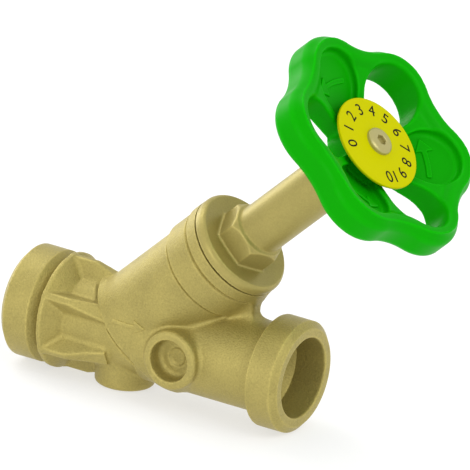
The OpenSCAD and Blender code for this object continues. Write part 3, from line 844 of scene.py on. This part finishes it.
@dataclass
class Casting:
    """The valve's body: pipe ends, ribbed inlet, inclined neck, gusset and two port bosses."""

    length: float = 93.5
    thread_r: float = 16.625
    bevel: float = 1.75
    bevel_depth: float = 2.0
    collar: float = 9.6
    taper_end: float = 12.1
    taper_r: float = 13.8
    outlet_taper: float = 1.2
    mouth_r: float = 11.9
    mouth_depth: float = 9.8
    bore_r: float = 9.5
    bore_taper: float = 2.4
    bore_past: float = 5.0
    bore_ends: tuple[float, float] = (60.0, 70.0)
    flange_r: float = 17.05
    flange_low: float = 13.35
    flange_high: float = 14.4
    ramp_end: float = 19.2
    floor_r: float = 12.3
    floor_end: float = 46.0
    rib_start: float = 13.6
    rib_flat: float = 22.2
    rib_fall: Corners = ((29.4, 14.7), (34.4, 13.6), (34.4, 0.0))
    rib_half: float = 1.0
    rib_draft: float = 0.4
    rib_round: float = 0.6
    neck_start: float = 3.7
    neck_r: float = 14.65
    rings: Corners = ((34.4, 15.55), (43.4, 16.05))
    ring_edge: float = 0.15
    ring_rise: tuple[float, float] = (0.1, 0.2)
    groove: float = 0.6
    groove_width: float = 2.2
    groove_foot: float = 1.4
    foot_at: float = 2.35
    foot_half: float = 1.1
    foot_depth: float = 1.0
    mouth_at: float = 47.0
    belly_r: float = 14.3
    belly_ends: tuple[float, float, float] = (20.0, 54.6, 57.8)
    tube_r: float = 13.3
    tube_start: float = 44.0
    gusset: Corners = (
        (43.9, 10.5), (76.2, 10.5), (76.2, 20.6), (73.0, 26.0), (60.0, 24.0), (43.9, 14.6),
    )
    gusset_half: float = 2.5
    gusset_round: float = 1.2
    partition: tuple[float, float] = (0.9, 4.4)
    seat: Corners = ((-1.0, UNDER), (-1.0, 8.7), (6.0, 8.7), (6.0, UNDER))
    chamber: Corners = (
        (4.4, 9.9), (4.4, 11.9), (34.0, 11.9), (34.0, 13.2), (45.3, 13.2), (45.3, 14.9),
        (50.0, 14.9), (50.0, UNDER), (5.0, UNDER), (5.0, 9.9),
    )
    boss_r: float = 8.8
    boss_round: float = 1.5
    port_r: float = 6.15
    port_depth: float = 4.9
    port_round: float = 2.0
    dimple_r: float = 2.6
    dimple_half: float = 0.25
    dimple_soft: float = 0.35
    side_x: float = 57.6
    side_reach: float = 16.05
    bottom_reach: float = 16.85
    fillet: float = 0.9
    flow_blend: float = 0.5
    neck_blend: float = 1.6
    gusset_blend: float = 3.0
    pipe_blend: float = 0.3
    side_blend: float = 1.4
    bottom_blend: float = 1.2
    inner_edge: float = 0.6
    arrow_at: tuple[float, float] = (42.3, 6.6)
    sketch: Arrow = Arrow(
        shaft_back=1.3, shaft_half=(4.2, 0.6), head=((1.8, -2.3), (5.6, 0.0), (1.8, 2.3), (2.6, 0.0)),
        blend=0.6, half=0.32,
    )
    room: Block = Block((-1.5, -18.5, -18.5), (95.0, 18.5, 46.5), step=0.4)
    arrow_room: Block = Block((35.5, -16.2, 1.5), (49.5, -12.2, 12.0), step=0.2)

    def inlet(self, x: Array, r: Array) -> Array:
        """Distance to a turned profile: collar, taper, groove, flange and ramp.

        Args:
            x: Station on the pipe.
            r: Distance from the pipe's axis.
        Returns:
            Signed distances.
        """
        t, f, g, floor = self.thread_r, self.flange_r, self.taper_r, self.floor_r
        return outline(x, r, (
            (0.0, UNDER), (0.0, t - self.bevel_depth), (self.bevel, t), (self.collar, t),
            (self.taper_end, g), (self.flange_low, g), (self.flange_low, f), (self.flange_high, f),
            (self.ramp_end, floor), (self.floor_end, floor), (self.floor_end, UNDER),
        ))

    def ribs(self, x: Array, y: Array, z: Array) -> Array:
        """Distance to six ribs, the first below the pipe: a side profile met with a wall that has draft.

        Args:
            x: Station on the pipe.
            y: Coordinate across the pipe.
            z: Height over the pipe's axis.
        Returns:
            Signed distances.
        """
        out, side = six_fold(-z, y)
        start, top = self.rib_start, self.flange_r
        height = outline(x, out, ((start, 0.0), (start, top), (self.rib_flat, top), *self.rib_fall))
        wall = side - self.rib_half - self.rib_draft * (top - out)
        return meet(height, wall, self.rib_round)

    def outlet(self, x: Array, r: Array) -> Array:
        """Distance to a turned profile: the outlet's tube, taper and collar.

        Args:
            x: Station on the pipe.
            r: Distance from the pipe's axis.
        Returns:
            Signed distances.
        """
        t, tube, end = self.thread_r, self.tube_r, self.length
        start = end - self.collar
        return outline(x, r, (
            (self.tube_start, UNDER), (self.tube_start, tube), (start - self.outlet_taper, tube),
            (start, t), (end - self.bevel, t), (end, t - self.bevel_depth), (end, UNDER),
        ))

    def neck(self, t: Array, rho: Array) -> Array:
        """Distance to a turned profile: the neck with its rings, each with a groove before it.

        Args:
            t: Station on the stem.
            rho: Distance from the stem's axis.
        Returns:
            Signed distances.
        """
        g, edge, below = self.groove, self.ring_edge, self.neck_r
        before, after = self.ring_rise
        corners = [(self.neck_start, UNDER), (self.neck_start, below)]
        for at, ring_r in self.rings:
            corners += [
                (at - self.groove_width * g, below), (at - self.groove_foot * g, below - g),
                (at - before, ring_r - edge), (at + after, ring_r),
            ]
            below = ring_r
        return outline(t, rho, (*corners, (self.mouth_at, below), (self.mouth_at, UNDER)))

    def boss(self, along: Array, off: Array, reach: float) -> Array:
        """Distance to a round boss with a rounded rim."""
        return meet(off - self.boss_r, along - reach, self.boss_round)

    def port(self, along: Array, off: Array, reach: float) -> Array:
        """Distance to a blind port, whose floor falls by a soft step round its middle.

        Args:
            along: Coordinate along the port, outwards.
            off: Distance from its axis.
            reach: How far out its boss stands.
        Returns:
            Signed distances.
        """
        floor = reach - self.port_depth
        dimple = self.dimple_half * (1.0 - np.tanh((off - self.dimple_r) / self.dimple_soft))
        return meet(off - self.port_r, floor - dimple - along, self.port_round)

    def field(self, x: Array, y: Array, z: Array) -> Array:
        """Distances to the whole casting: outer shapes joined in turn, then the hollows cut out.

        Args:
            x: Station on the pipe.
            y: Coordinate across the pipe.
            z: Height over the pipe's axis.
        Returns:
            Signed distances.
        """
        r = np.hypot(y, z)
        t = STEM.along(x, z)
        rho = np.hypot(STEM.across(x, z), y)
        line = np.maximum(1.0 - np.abs(t - self.foot_at) / self.foot_half, 0.0)
        pipe = self.inlet(x, r) + self.foot_depth * line
        pipe = join(pipe, self.ribs(x, y, z), self.fillet)
        start, bend, end = self.belly_ends
        belly = outline(x, r, (
            (start, UNDER), (start, self.belly_r), (bend, self.belly_r), (end, self.tube_r), (end, UNDER),
        ))
        belly = meet(belly, self.neck_start - t, self.flow_blend)
        flow = join(belly, self.outlet(x, r), self.flow_blend)
        web = meet(outline(x, z, self.gusset), np.abs(y) - self.gusset_half, self.gusset_round)
        upper = join(self.neck(t, rho), flow, self.neck_blend)
        upper = join(upper, web, self.gusset_blend)
        side_off = np.hypot(x - self.side_x, z)
        low_off = np.hypot(x - STEM.cross_x, y)
        side = np.maximum(self.boss(-y, side_off, self.side_reach), y)
        low = np.maximum(self.boss(-z, low_off, self.bottom_reach), z)
        body = join(upper, pipe, self.pipe_blend)
        body = join(body, side, self.side_blend)
        body = join(body, low, self.bottom_blend)
        before, after = self.partition
        way_in = self.waterway(x, r, self.bore_ends[0])
        way_out = self.waterway(self.length - x, r, self.bore_ends[1])
        hollows = (
            np.maximum(way_in, t - before),
            np.maximum(way_out, after - t),
            outline(t, rho, self.chamber),
            outline(t, rho, self.seat),
            self.port(-y, side_off, self.side_reach),
            self.port(-z, low_off, self.bottom_reach),
        )
        for taken in hollows:
            body = cut(body, taken, self.inner_edge)
        return body

    def waterway(self, x: Array, r: Array, reach: float) -> Array:
        """Distance to a turned profile: the mouth of one pipe end, a taper and the bore.

        Args:
            x: Station inwards from the pipe's end.
            r: Distance from the pipe's axis.
            reach: Station where the bore stops, past the partition.
        Returns:
            Signed distances.
        """
        start, mouth, bore, depth = -self.bore_past, self.mouth_r, self.bore_r, self.mouth_depth
        return outline(x, r, (
            (start, UNDER), (start, mouth), (depth, mouth), (depth + self.bore_taper, bore),
            (reach, bore), (reach, UNDER),
        ))

    def arrow(self, x: Array, y: Array, z: Array) -> Array:
        """Distances to the flow arrow, which lies along the pipe on the side of the neck."""
        height = np.hypot(STEM.across(x, z), y) - self.neck_r
        return self.sketch.on(x - self.arrow_at[0], z - self.arrow_at[1], height)

    def build(self) -> None:
        """Makes the casting and its arrow."""
        made = mesh_piece("casting", skin_of(self.field, self.room), CAST_BRASS)
        fit_in(made, Body.VALVE, "cast_brass", "valve_body")
        made = mesh_piece("flow_arrow", skin_of(self.arrow, self.arrow_room), CAST_BRASS)
        fit_in(made, Body.VALVE, "cast_brass")


@dataclass
class Headwork:
    """The bonnet: guide skirt, threaded joint, dished flange, hexagon and long sleeve."""

    skirt_end: float = 26.5
    skirt_r: float = 11.66
    thread_start: float = 35.0
    thread_full: float = 36.0
    thread_r: float = 13.15
    mouth_at: float = 47.0
    relief_r: float = 14.7
    relief: float = 0.5
    flange_r: float = 16.0
    flange_face: float = 50.9
    flange_round: float = 2.2
    dish_depth: float = 1.2
    dish_fall: float = 0.3
    hex_half: float = 8.4
    hex_top: float = 57.0
    hex_sunk: float = 1.0
    hex_edge: float = 0.3
    hex_blend: float = 1.0
    bead: float = 0.7
    sleeve_r: float = 7.55
    sleeve_top: float = 97.0
    hollow: Corners = (
        (20.0, UNDER), (20.0, 10.2), (46.8, 10.2), (46.8, 7.0), (51.3, 7.0), (51.3, 5.05),
        (89.1, 5.05), (89.1, 6.2), (105.0, 6.2), (105.0, UNDER),
    )
    hollow_edge: float = 0.4
    slot_half: float = 1.65
    slot_r: float = 11.2
    slot_ends: tuple[float, float] = (36.5, 46.8)
    slot_edge: float = 0.2
    room: Block = Block((-17.23, -17.17, 25.37), (17.2, 17.2, 98.2), step=0.4)

    def turned(self, t: Array, rho: Array) -> Array:
        """Distance to everything but the hexagon, as a profile turned round the stem.

        Args:
            t: Station on the stem.
            rho: Distance from the stem's axis.
        Returns:
            Signed distances.
        """
        f, face, bend, sleeve = self.flange_r, self.flange_face, self.flange_round, self.sleeve_r
        joint = self.mouth_at + self.relief
        return outline(t, rho, (
            (self.skirt_end, UNDER), (self.skirt_end, self.skirt_r), (self.thread_start, self.skirt_r),
            (self.thread_full, self.thread_r), (self.mouth_at, self.thread_r),
            (self.mouth_at, self.relief_r), (joint, self.relief_r), (joint, f),
            *arc((face - bend, f - bend), (bend, bend), SIXTH),
            (face - self.dish_depth - self.dish_fall, sleeve), (self.hex_top, sleeve + self.bead),
            (self.hex_top + self.bead, sleeve), (self.sleeve_top, sleeve), (self.sleeve_top, UNDER),
        ))

    def hexagon(self, u: Array, v: Array, t: Array, rho: Array) -> Array:
        """Distance to the hexagon, a corner on the side direction and its top met with a 45 degree cone.

        Args:
            u: Coordinate on the stem's side direction.
            v: Coordinate across.
            t: Station on the stem.
            rho: Distance from the stem's axis.
        Returns:
            Signed distances.
        """
        ends = np.maximum(t - self.hex_top, self.flange_face - self.dish_depth - self.hex_sunk - t)
        turned = ((rho - self.hex_half) + (t - self.hex_top)) * math.sqrt(0.5)
        return meet(meet(six_sides(u, v) - self.hex_half, ends, self.hex_edge), turned, self.hex_edge)

    def field(self, u: Array, v: Array, t: Array) -> Array:
        """Distances to the whole bonnet: turned shape and hexagon, less the bore and the guide slots.

        Args:
            u: Coordinate on the stem's side direction.
            v: Coordinate across.
            t: Station on the stem.
        Returns:
            Signed distances.
        """
        rho = np.hypot(u, v)
        body = join(self.turned(t, rho), self.hexagon(u, v, t, rho), self.hex_blend)
        low, high = self.slot_ends
        ends = np.maximum(low - t, t - high)
        slots = np.maximum(np.abs(v) - self.slot_half, np.maximum(rho - self.slot_r, ends))
        return cut(cut(body, outline(t, rho, self.hollow), self.hollow_edge), slots, self.slot_edge)

    def build(self) -> None:
        """Makes the bonnet."""
        skin = STEM.to_row(skin_of(self.field, self.room))
        fit_in(mesh_piece("headwork", skin, TURNED_BRASS), Body.VALVE, "headwork_brass", "bonnet")


@dataclass
class Wheel:
    """The lobed handwheel: rounded rim, dished web, three windows and three closed recesses."""

    tip_r: float = 35.05
    lobe_r: float = 14.0
    valley_r: float = 30.6
    low: float = 101.35
    high: float = 111.45
    width: float = 5.4
    upper_corners: tuple[float, float] = (3.1, 2.3)
    lower_corners: tuple[float, float] = (2.4, 0.9)
    hub_r: float = 10.5
    hub_low: float = 98.0
    hub_high: float = 107.2
    hub_edge: float = 0.6
    hub_blend: float = 1.0
    dish_slope: float = 0.38
    dish_r: float = 25.3
    dish_high: float = 109.75
    back_low: float = 98.2
    back_r: float = 8.5
    back_slope: float = 0.18
    back_lean: float = 0.98
    web_inset: float = 2.2
    web_edge: float = 0.4
    rim_blend: float = 1.8
    spoke_half: float = 1.4
    window_edge: float = 0.9
    recess_at: float = 11.5
    recess_depth: float = 2.6
    recess_foot: float = 1.0
    recess_edge: float = 0.7
    floor: float = 2.4
    under_inset: float = 1.4
    under_foot: float = 0.8
    under_edge: float = 0.5
    square_half: float = 3.56
    bore_r: float = 5.5
    bore_low: float = 106.4
    bore_edge: float = 0.2
    arrow_turns: tuple[float, ...] = (60.0, 180.0, 300.0)
    arrow_r: float = 21.5
    sketch: Arrow = Arrow(
        shaft_back=0.6, shaft_half=(5.0, 0.75), head=((3.4, -2.9), (7.4, 0.0), (3.4, 2.9)),
        blend=0.5, half=0.5,
    )
    room: Block = Block((-36.5, -36.5, 97.0), (36.5, 36.5, 112.6), step=0.42)
    arrow_room: Block = Block((13.0, -9.0, 98.5), (30.0, 9.0, 110.5), step=0.24)

    def __post_init__(self) -> None:
        """Works out the two arcs of the outline, which meet on one tangent."""
        c, s = math.cos(SIXTH / 2.0), math.sin(SIXTH / 2.0)
        self.lobe_at = self.tip_r - self.lobe_r
        top = self.lobe_at**2 + self.valley_r**2 - self.lobe_r**2 - 2 * self.lobe_at * self.valley_r * c
        self.valley_curve = top / (2 * (self.lobe_r + self.lobe_at * c - self.valley_r))
        self.valley_at = self.valley_r + self.valley_curve
        self.valley_centre = (self.valley_at * c, self.valley_at * s)

    def edge(self, a: Array, b: Array) -> Array:
        """Distance to the lobed outline, from the lobe's arc or the valley's, whichever lies abreast.

        Args:
            a: Coordinate along the nearest lobe's ray.
            b: Coordinate across it.
        Returns:
            Signed distances.
        """
        va, vb = self.valley_centre
        lobe = np.hypot(a - self.lobe_at, b) - self.lobe_r
        valley = self.valley_curve - np.hypot(a - va, b - vb)
        left = (va - self.lobe_at) * b - vb * (a - self.lobe_at)
        return np.where(left > 0.0, valley, lobe)

    def rim(self, edge: Array, t: Array) -> Array:
        """Distance to the rim: a box with its own rounding at each corner, carried along the outline.

        Args:
            edge: Distance to the outline.
            t: Station on the stem.
        Returns:
            Signed distances.
        """
        half_w, half_h = self.width / 2.0, (self.high - self.low) / 2.0
        u = -edge - half_w
        v = t - (self.low + self.high) / 2.0
        upper = np.where(u < 0.0, *self.upper_corners)
        lower = np.where(u < 0.0, *self.lower_corners)
        return rounded_box(u, v, (half_w, half_h), np.where(v > 0.0, upper, lower))

    def dish(self, rho: Array) -> Array:
        """Height of the dished face over the distance from the stem."""
        return self.dish_high - self.dish_slope * (self.dish_r - rho)

    def recess(self, a: Array, b: Array) -> Array:
        """Distance to the plan of a window or recess, two circles that keep clear of the spokes.

        Args:
            a: Coordinate along the nearest lobe's ray.
            b: Coordinate across it.
        Returns:
            Signed distances.
        """
        big = self.lobe_at * 0.5 - self.spoke_half
        small = self.recess_at * 0.5 - self.spoke_half
        return drop_shape(a - self.recess_at, b, self.lobe_at - self.recess_at, small, big)

    def field(self, u: Array, v: Array, t: Array) -> Array:
        """Distances to the whole wheel: web, rim and hub joined, less windows, recesses and bores.

        Args:
            u: Coordinate on the stem's side direction.
            v: Coordinate across.
            t: Station on the stem.
        Returns:
            Signed distances.
        """
        a, b = six_fold(u, v)
        rho = np.hypot(u, v)
        edge = self.edge(a, b)
        lean = 1.0 / math.hypot(1.0, self.dish_slope)
        front = (t - self.dish(rho)) * lean
        rise = self.back_low + (rho - self.back_r) * self.back_slope
        back = np.maximum(self.back_low - t, (rise - t) * self.back_lean)
        web = meet(np.maximum(front, back), edge + self.web_inset, self.web_edge)
        wheel = join(web, self.rim(edge, t), self.rim_blend)
        plan = self.recess(a, b)
        sector = np.round(np.arctan2(v, u) / SIXTH).astype(int) % 2
        opened = np.where(sector == 0, plan, FAR)
        closed = np.where(sector == 1, plan, FAR)
        wheel = cut(wheel, opened, self.window_edge)
        floor = self.dish(rho) - self.recess_depth
        wheel = cut(wheel, meet(closed, (floor - t) * lean, self.recess_foot), self.recess_edge)
        under = (t - (floor - self.floor)) * lean
        wheel = cut(wheel, meet(closed + self.under_inset, under, self.under_foot), self.under_edge)
        ends = np.maximum(self.hub_low - t, t - self.hub_high)
        wheel = join(wheel, meet(rho - self.hub_r, ends, self.hub_edge), self.hub_blend)
        square = np.maximum(np.abs(u), np.abs(v)) - self.square_half
        wheel = cut(wheel, square, self.bore_edge)
        return cut(wheel, np.maximum(rho - self.bore_r, self.bore_low - t), self.bore_edge)

    def build(self) -> None:
        """Makes the wheel."""
        skin = STEM.to_row(skin_of(self.field, self.room))
        fit_in(mesh_piece("handwheel_shell", skin, WHEEL_PLASTIC), Body.WHEEL, "wheel_green", "handwheel")
        for number, turn in enumerate(self.arrow_turns):
            self.mark(f"turn_arrow_{number + 1}", math.radians(turn))

    def arrow(self, u: Array, v: Array, t: Array) -> Array:
        """Distances to an arrow bent round the stem: its length is an angle times a radius.

        Args:
            u: Coordinate on the stem's side direction, along the arrow's middle.
            v: Coordinate across.
            t: Station on the stem.
        Returns:
            Signed distances.
        """
        rho = np.hypot(u, v)
        floor = self.dish(rho) - self.recess_depth
        return self.sketch.on(np.arctan2(v, u) * self.arrow_r, rho - self.arrow_r, t - floor)

    def mark(self, name: str, turn: float) -> None:
        """Makes the arrow on the floor of one closed recess.

        Args:
            name: The piece's name.
            turn: The recess's angle round the stem.
        """
        skin = skin_of(self.arrow, self.arrow_room)
        c, s = math.cos(turn), math.sin(turn)
        spin = np.array([[c, s, 0.0], [-s, c, 0.0], [0.0, 0.0, 1.0]])
        spun = Skin(skin.points @ spin, skin.faces, skin.normals @ spin, skin.edges)
        fit_in(mesh_piece(name, STEM.to_row(spun), WHEEL_PLASTIC), Body.WHEEL, "wheel_green")


@dataclass
class Dial:
    """The indicator disc with its numbers, and the screw that holds it."""

    disc_r: float = 14.8
    disc_low: float = 107.2
    disc_high: float = 108.1
    disc_edge: float = 0.3
    hole_r: float = 2.6
    hole_edge: float = 0.1
    swell: float = 0.45
    swell_r: float = 6.0
    crown_r: float = 9.0
    number_r: float = 10.8
    number_size: float = 5.2
    first_angle: float = -106.0
    step_angle: float = -27.0
    screw_r: float = 4.3
    screw_low: float = 94.4
    shank_r: float = 2.5
    tip_bevel: float = 0.4
    head_rim: float = 1.0
    head_dome: float = 0.9
    dome_r: float = 2.0
    socket_half: float = 1.5
    socket_depth: float = 1.2
    socket_edge: float = 0.3
    ink: float = 0.06
    seam: float = 0.002
    room: Block = Block((-15.4, -15.4, 106.7), (15.4, 15.4, 109.2), step=0.19)
    screw_room: Block = Block((-4.9, -4.9, 93.8), (4.9, 4.9, 110.6), step=0.16)

    def plate(self, u: Array, v: Array, t: Array) -> Array:
        """Distances to the disc: a rounded plate, and a crown that swells by a bell curve of the radius.

        Args:
            u: Coordinate on the stem's side direction.
            v: Coordinate across.
            t: Station on the stem.
        Returns:
            Signed distances.
        """
        rho = np.hypot(u, v)
        middle = (self.disc_low + self.disc_high) / 2.0
        half = (self.disc_high - self.disc_low) / 2.0
        disc = rounded_box(rho, t - middle, (self.disc_r, half), np.full(1, self.disc_edge))
        swell = self.disc_high + self.swell * np.exp(-((rho / self.swell_r) ** 4))
        crown = np.maximum(t - swell, np.maximum(rho - self.crown_r, middle - t))
        return cut(np.minimum(disc, crown), rho - self.hole_r, self.hole_edge)

    def screw(self, u: Array, v: Array, t: Array) -> Array:
        """Distances to the screw: shank, rim and dome turned round the stem, less a hexagon socket.

        Args:
            u: Coordinate on the stem's side direction.
            v: Coordinate across.
            t: Station on the stem.
        Returns:
            Signed distances.
        """
        low, shank, tip, bevel = self.disc_high, self.shank_r, self.screw_low, self.tip_bevel
        dome_low = low + self.head_rim
        top = dome_low + self.head_dome
        head = outline(t, np.hypot(u, v), (
            (tip, UNDER), (tip, shank - bevel), (tip + bevel, shank), (low, shank), (low, self.screw_r),
            *arc((dome_low, self.screw_r - self.dome_r), (self.head_dome, self.dome_r), math.pi / 2.0),
            (top, UNDER),
        ))
        socket = np.maximum(six_sides(u, v) - self.socket_half, top - self.socket_depth - t)
        return cut(head, socket, self.socket_edge)

    def number(self, mark: int) -> tuple[Array, list[tuple[int, ...]]]:
        """One number as a closed mesh, which lies on the disc and stands outwards.

        Args:
            mark: The number.
        Returns:
            Its points on the stem, in millimetres, and its faces.
        """
        curve = bpy.data.curves.new("number", "FONT")
        curve.body = str(mark)
        curve.align_x, curve.align_y = "CENTER", "CENTER"
        curve.size = self.number_size
        curve.extrude = self.ink
        holder = put_in("number", curve)
        bpy.context.view_layer.update()
        mesh = bpy.data.meshes.new_from_object(holder)
        seams = bmesh.new()
        seams.from_mesh(mesh)
        bmesh.ops.remove_doubles(seams, verts=seams.verts, dist=self.seam)
        bmesh.ops.recalc_face_normals(seams, faces=seams.faces)
        seams.to_mesh(mesh)
        seams.free()
        co = np.zeros(len(mesh.vertices) * 3, np.float32)
        mesh.vertices.foreach_get("co", co)
        co = co.reshape(-1, 3).astype(float)
        faces = [tuple(p.vertices) for p in mesh.polygons]
        bpy.data.objects.remove(holder)
        bpy.data.meshes.remove(mesh)
        angle = math.radians(self.first_angle + self.step_angle * mark)
        out = np.array([math.cos(angle), math.sin(angle), 0.0])
        right = np.array([math.sin(angle), -math.cos(angle), 0.0])
        length = np.array([0.0, 0.0, 1.0])
        placed = co[:, :1] * right + (co[:, 1:2] + self.number_r) * out
        return placed + (co[:, 2:3] + self.disc_high) * length, faces

    def numbers(self) -> None:
        """Makes the printed numbers as one piece."""
        points: list[Array] = []
        faces: list[tuple[int, ...]] = []
        base = 0
        for placed, corners in map(self.number, range(MARKS)):
            points.append(placed)
            faces += [tuple(i + base for i in face) for face in corners]
            base += len(placed)
        mesh = bpy.data.meshes.new("dial_numbers")
        mesh.from_pydata((STEM.place(np.concatenate(points)) * MM).tolist(), [], faces)
        mesh.validate()
        mesh.materials.append(PRINT_INK.make())
        fit_in(put_in("dial_numbers", mesh), Body.WHEEL, "disc_print")
        log.info("dial_numbers: %d points", base)

    def build(self) -> None:
        """Makes the disc, its screw and its numbers."""
        made = mesh_piece("dial_plate", STEM.to_row(skin_of(self.plate, self.room)), DISC_LACQUER)
        fit_in(made, Body.WHEEL, "disc_yellow", "indicator_disc")
        skin = STEM.to_row(skin_of(self.screw, self.screw_room))
        made = mesh_piece("dial_screw", skin, SCREW_BRASS)
        fit_in(made, Body.WHEEL, "screw_brass", "wheel_screw")
        self.numbers()


@dataclass
class InnerPieces:
    """The pieces inside, which keep their CAD shapes and get their finishes."""

    finishes: dict[str, Finish] = field(
        default_factory=lambda: {
            "bonnet_o_ring": SEAL_RUBBER,
            "top_thrust_washer": BEARING_PLASTIC,
            "bottom_thrust_washer": BEARING_PLASTIC,
            "collar_circlip": SPINDLE_STEEL,
            "guide_bush": BEARING_PLASTIC,
            "wiper_ring": SEAL_RUBBER,
            "spindle": SPINDLE_STEEL,
            "spindle_o_rings": SEAL_RUBBER,
            "wheel_washer": SPINDLE_STEEL,
            "disc_carrier": INNER_BRASS,
            "carrier_o_ring": SEAL_RUBBER,
            "carrier_back_ring": BEARING_PLASTIC,
            "seat_washer": SEAL_RUBBER,
            "washer_plate": SPINDLE_STEEL,
            "washer_screw": SPINDLE_STEEL,
        }
    )

    def build(self) -> None:
        """Gives each CAD node its finish, one material for each finish."""
        made: dict[str, bpy.types.Material] = {}
        for node, finish in self.finishes.items():
            if finish.name not in made:
                made[finish.name] = finish.make()
            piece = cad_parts[node]
            if not piece.material_slots:
                piece.data.materials.append(None)
            for holder in piece.material_slots:
                holder.material = made[finish.name]
            log.info("%s keeps its shape, in %s", node, finish.name)


@dataclass
class Studio:
    """Floor, soft lights and the camera at the photograph's angle.

    The floor's sizes, the lens, the sensor and the camera's target are in millimetres. The lamps'
    places and side, what they aim at, the camera's distance and how far it sees are in metres.
    """

    floor_z: float = -17.1
    floor_half: float = 3000.0
    floor_cells: int = 8
    lamps: tuple[tuple[str, tuple[float, float, float], float], ...] = (
        ("high_key", (-0.93, 0.27, 1.26), 6.8),
        ("low_key", (-1.43, 0.4, 0.44), 7.0),
        ("side_fill", (1.24, -0.32, 1.06), 6.6),
        ("front_fill", (-0.1, -1.54, 0.44), 5.5),
    )
    lamp_side: float = 0.8
    aim: tuple[float, float, float] = (0.06, 0.0, 0.03)
    room_light: float = 0.87
    sight: float = 50.0
    distance: float = 5.637
    lens: float = 1500.0
    sensor: float = 36.0
    target: tuple[float, float, float] = (53.61, 22.57, 27.32)
    right: tuple[float, float, float] = (0.8478, 0.5239, 0.0819)
    up: tuple[float, float, float] = (-0.2458, 0.2515, 0.9361)

    def floor(self) -> None:
        """Makes the pale floor, a grid of flat faces under the valve."""
        cells = self.floor_cells
        side = np.linspace(-self.floor_half, self.floor_half, cells + 1)
        x, y = np.meshgrid(side, side, indexing="ij")
        points = np.stack([x.ravel(), y.ravel(), np.full(x.size, self.floor_z)], 1)
        start = (np.arange(cells)[:, None] * (cells + 1) + np.arange(cells)).ravel()
        quads = np.stack([start, start + cells + 1, start + cells + 2, start + 1], 1)
        normals = np.tile([0.0, 0.0, 1.0], (len(quads), 4, 1))
        flat = np.full(len(points), FLAT_EDGE)
        mesh_piece("floor", Skin(points, quads, normals, flat), FLOOR_PAINT)

    def lamp(self, name: str, place: tuple[float, float, float], power: float) -> None:
        """Adds a square soft light that looks at the valve's middle.

        Args:
            name: The light's name.
            place: Where it stands, in metres.
            power: Its power in watts.
        """
        data = bpy.data.lights.new(name, "AREA")
        data.size = self.lamp_side
        data.energy = power
        away = np.array(place) - np.array(self.aim)
        away = away / np.linalg.norm(away)
        side = np.cross([0.0, 0.0, 1.0], away)
        side = side / np.linalg.norm(side)
        stand(put_in(name, data), (side, np.cross(away, side), away), np.array(place))

    def camera(self) -> None:
        """Adds the camera: right, up and back directions were solved from the photograph's ellipses."""
        right, up = np.array(self.right), np.array(self.up)
        back = np.cross(right, up)
        place = np.array(self.target) * MM + back * self.distance
        data = bpy.data.cameras.new("camera")
        data.lens = self.lens
        data.sensor_width = self.sensor
        data.clip_end = self.sight
        camera = put_in("camera", data)
        stand(camera, (right, up, back), place)
        bpy.context.scene.camera = camera

    def air(self) -> None:
        """Fills the room with even white light and keeps plain display colours."""
        world = bpy.data.worlds.new("room")
        world.use_nodes = True
        glow = world.node_tree.nodes["Background"]
        glow.inputs["Color"].default_value = WHITE
        glow.inputs["Strength"].default_value = self.room_light
        bpy.context.scene.world = world
        bpy.context.scene.view_settings.view_transform = "Standard"

    def build(self) -> None:
        """Sets up the room."""
        self.floor()
        for name, place, power in self.lamps:
            self.lamp(name, place, power)
        self.camera()
        self.air()


def main() -> None:
    """Builds the valve and its room, piece by piece."""
    logging.basicConfig(level=logging.INFO, format="%(message)s")
    builders: list[Callable[[], None]] = [
        Casting().build,
        Headwork().build,
        Wheel().build,
        Dial().build,
        InnerPieces().build,
        Studio().build,
    ]
    for build in builders:
        build()


if __name__ == "__main__":
    main()
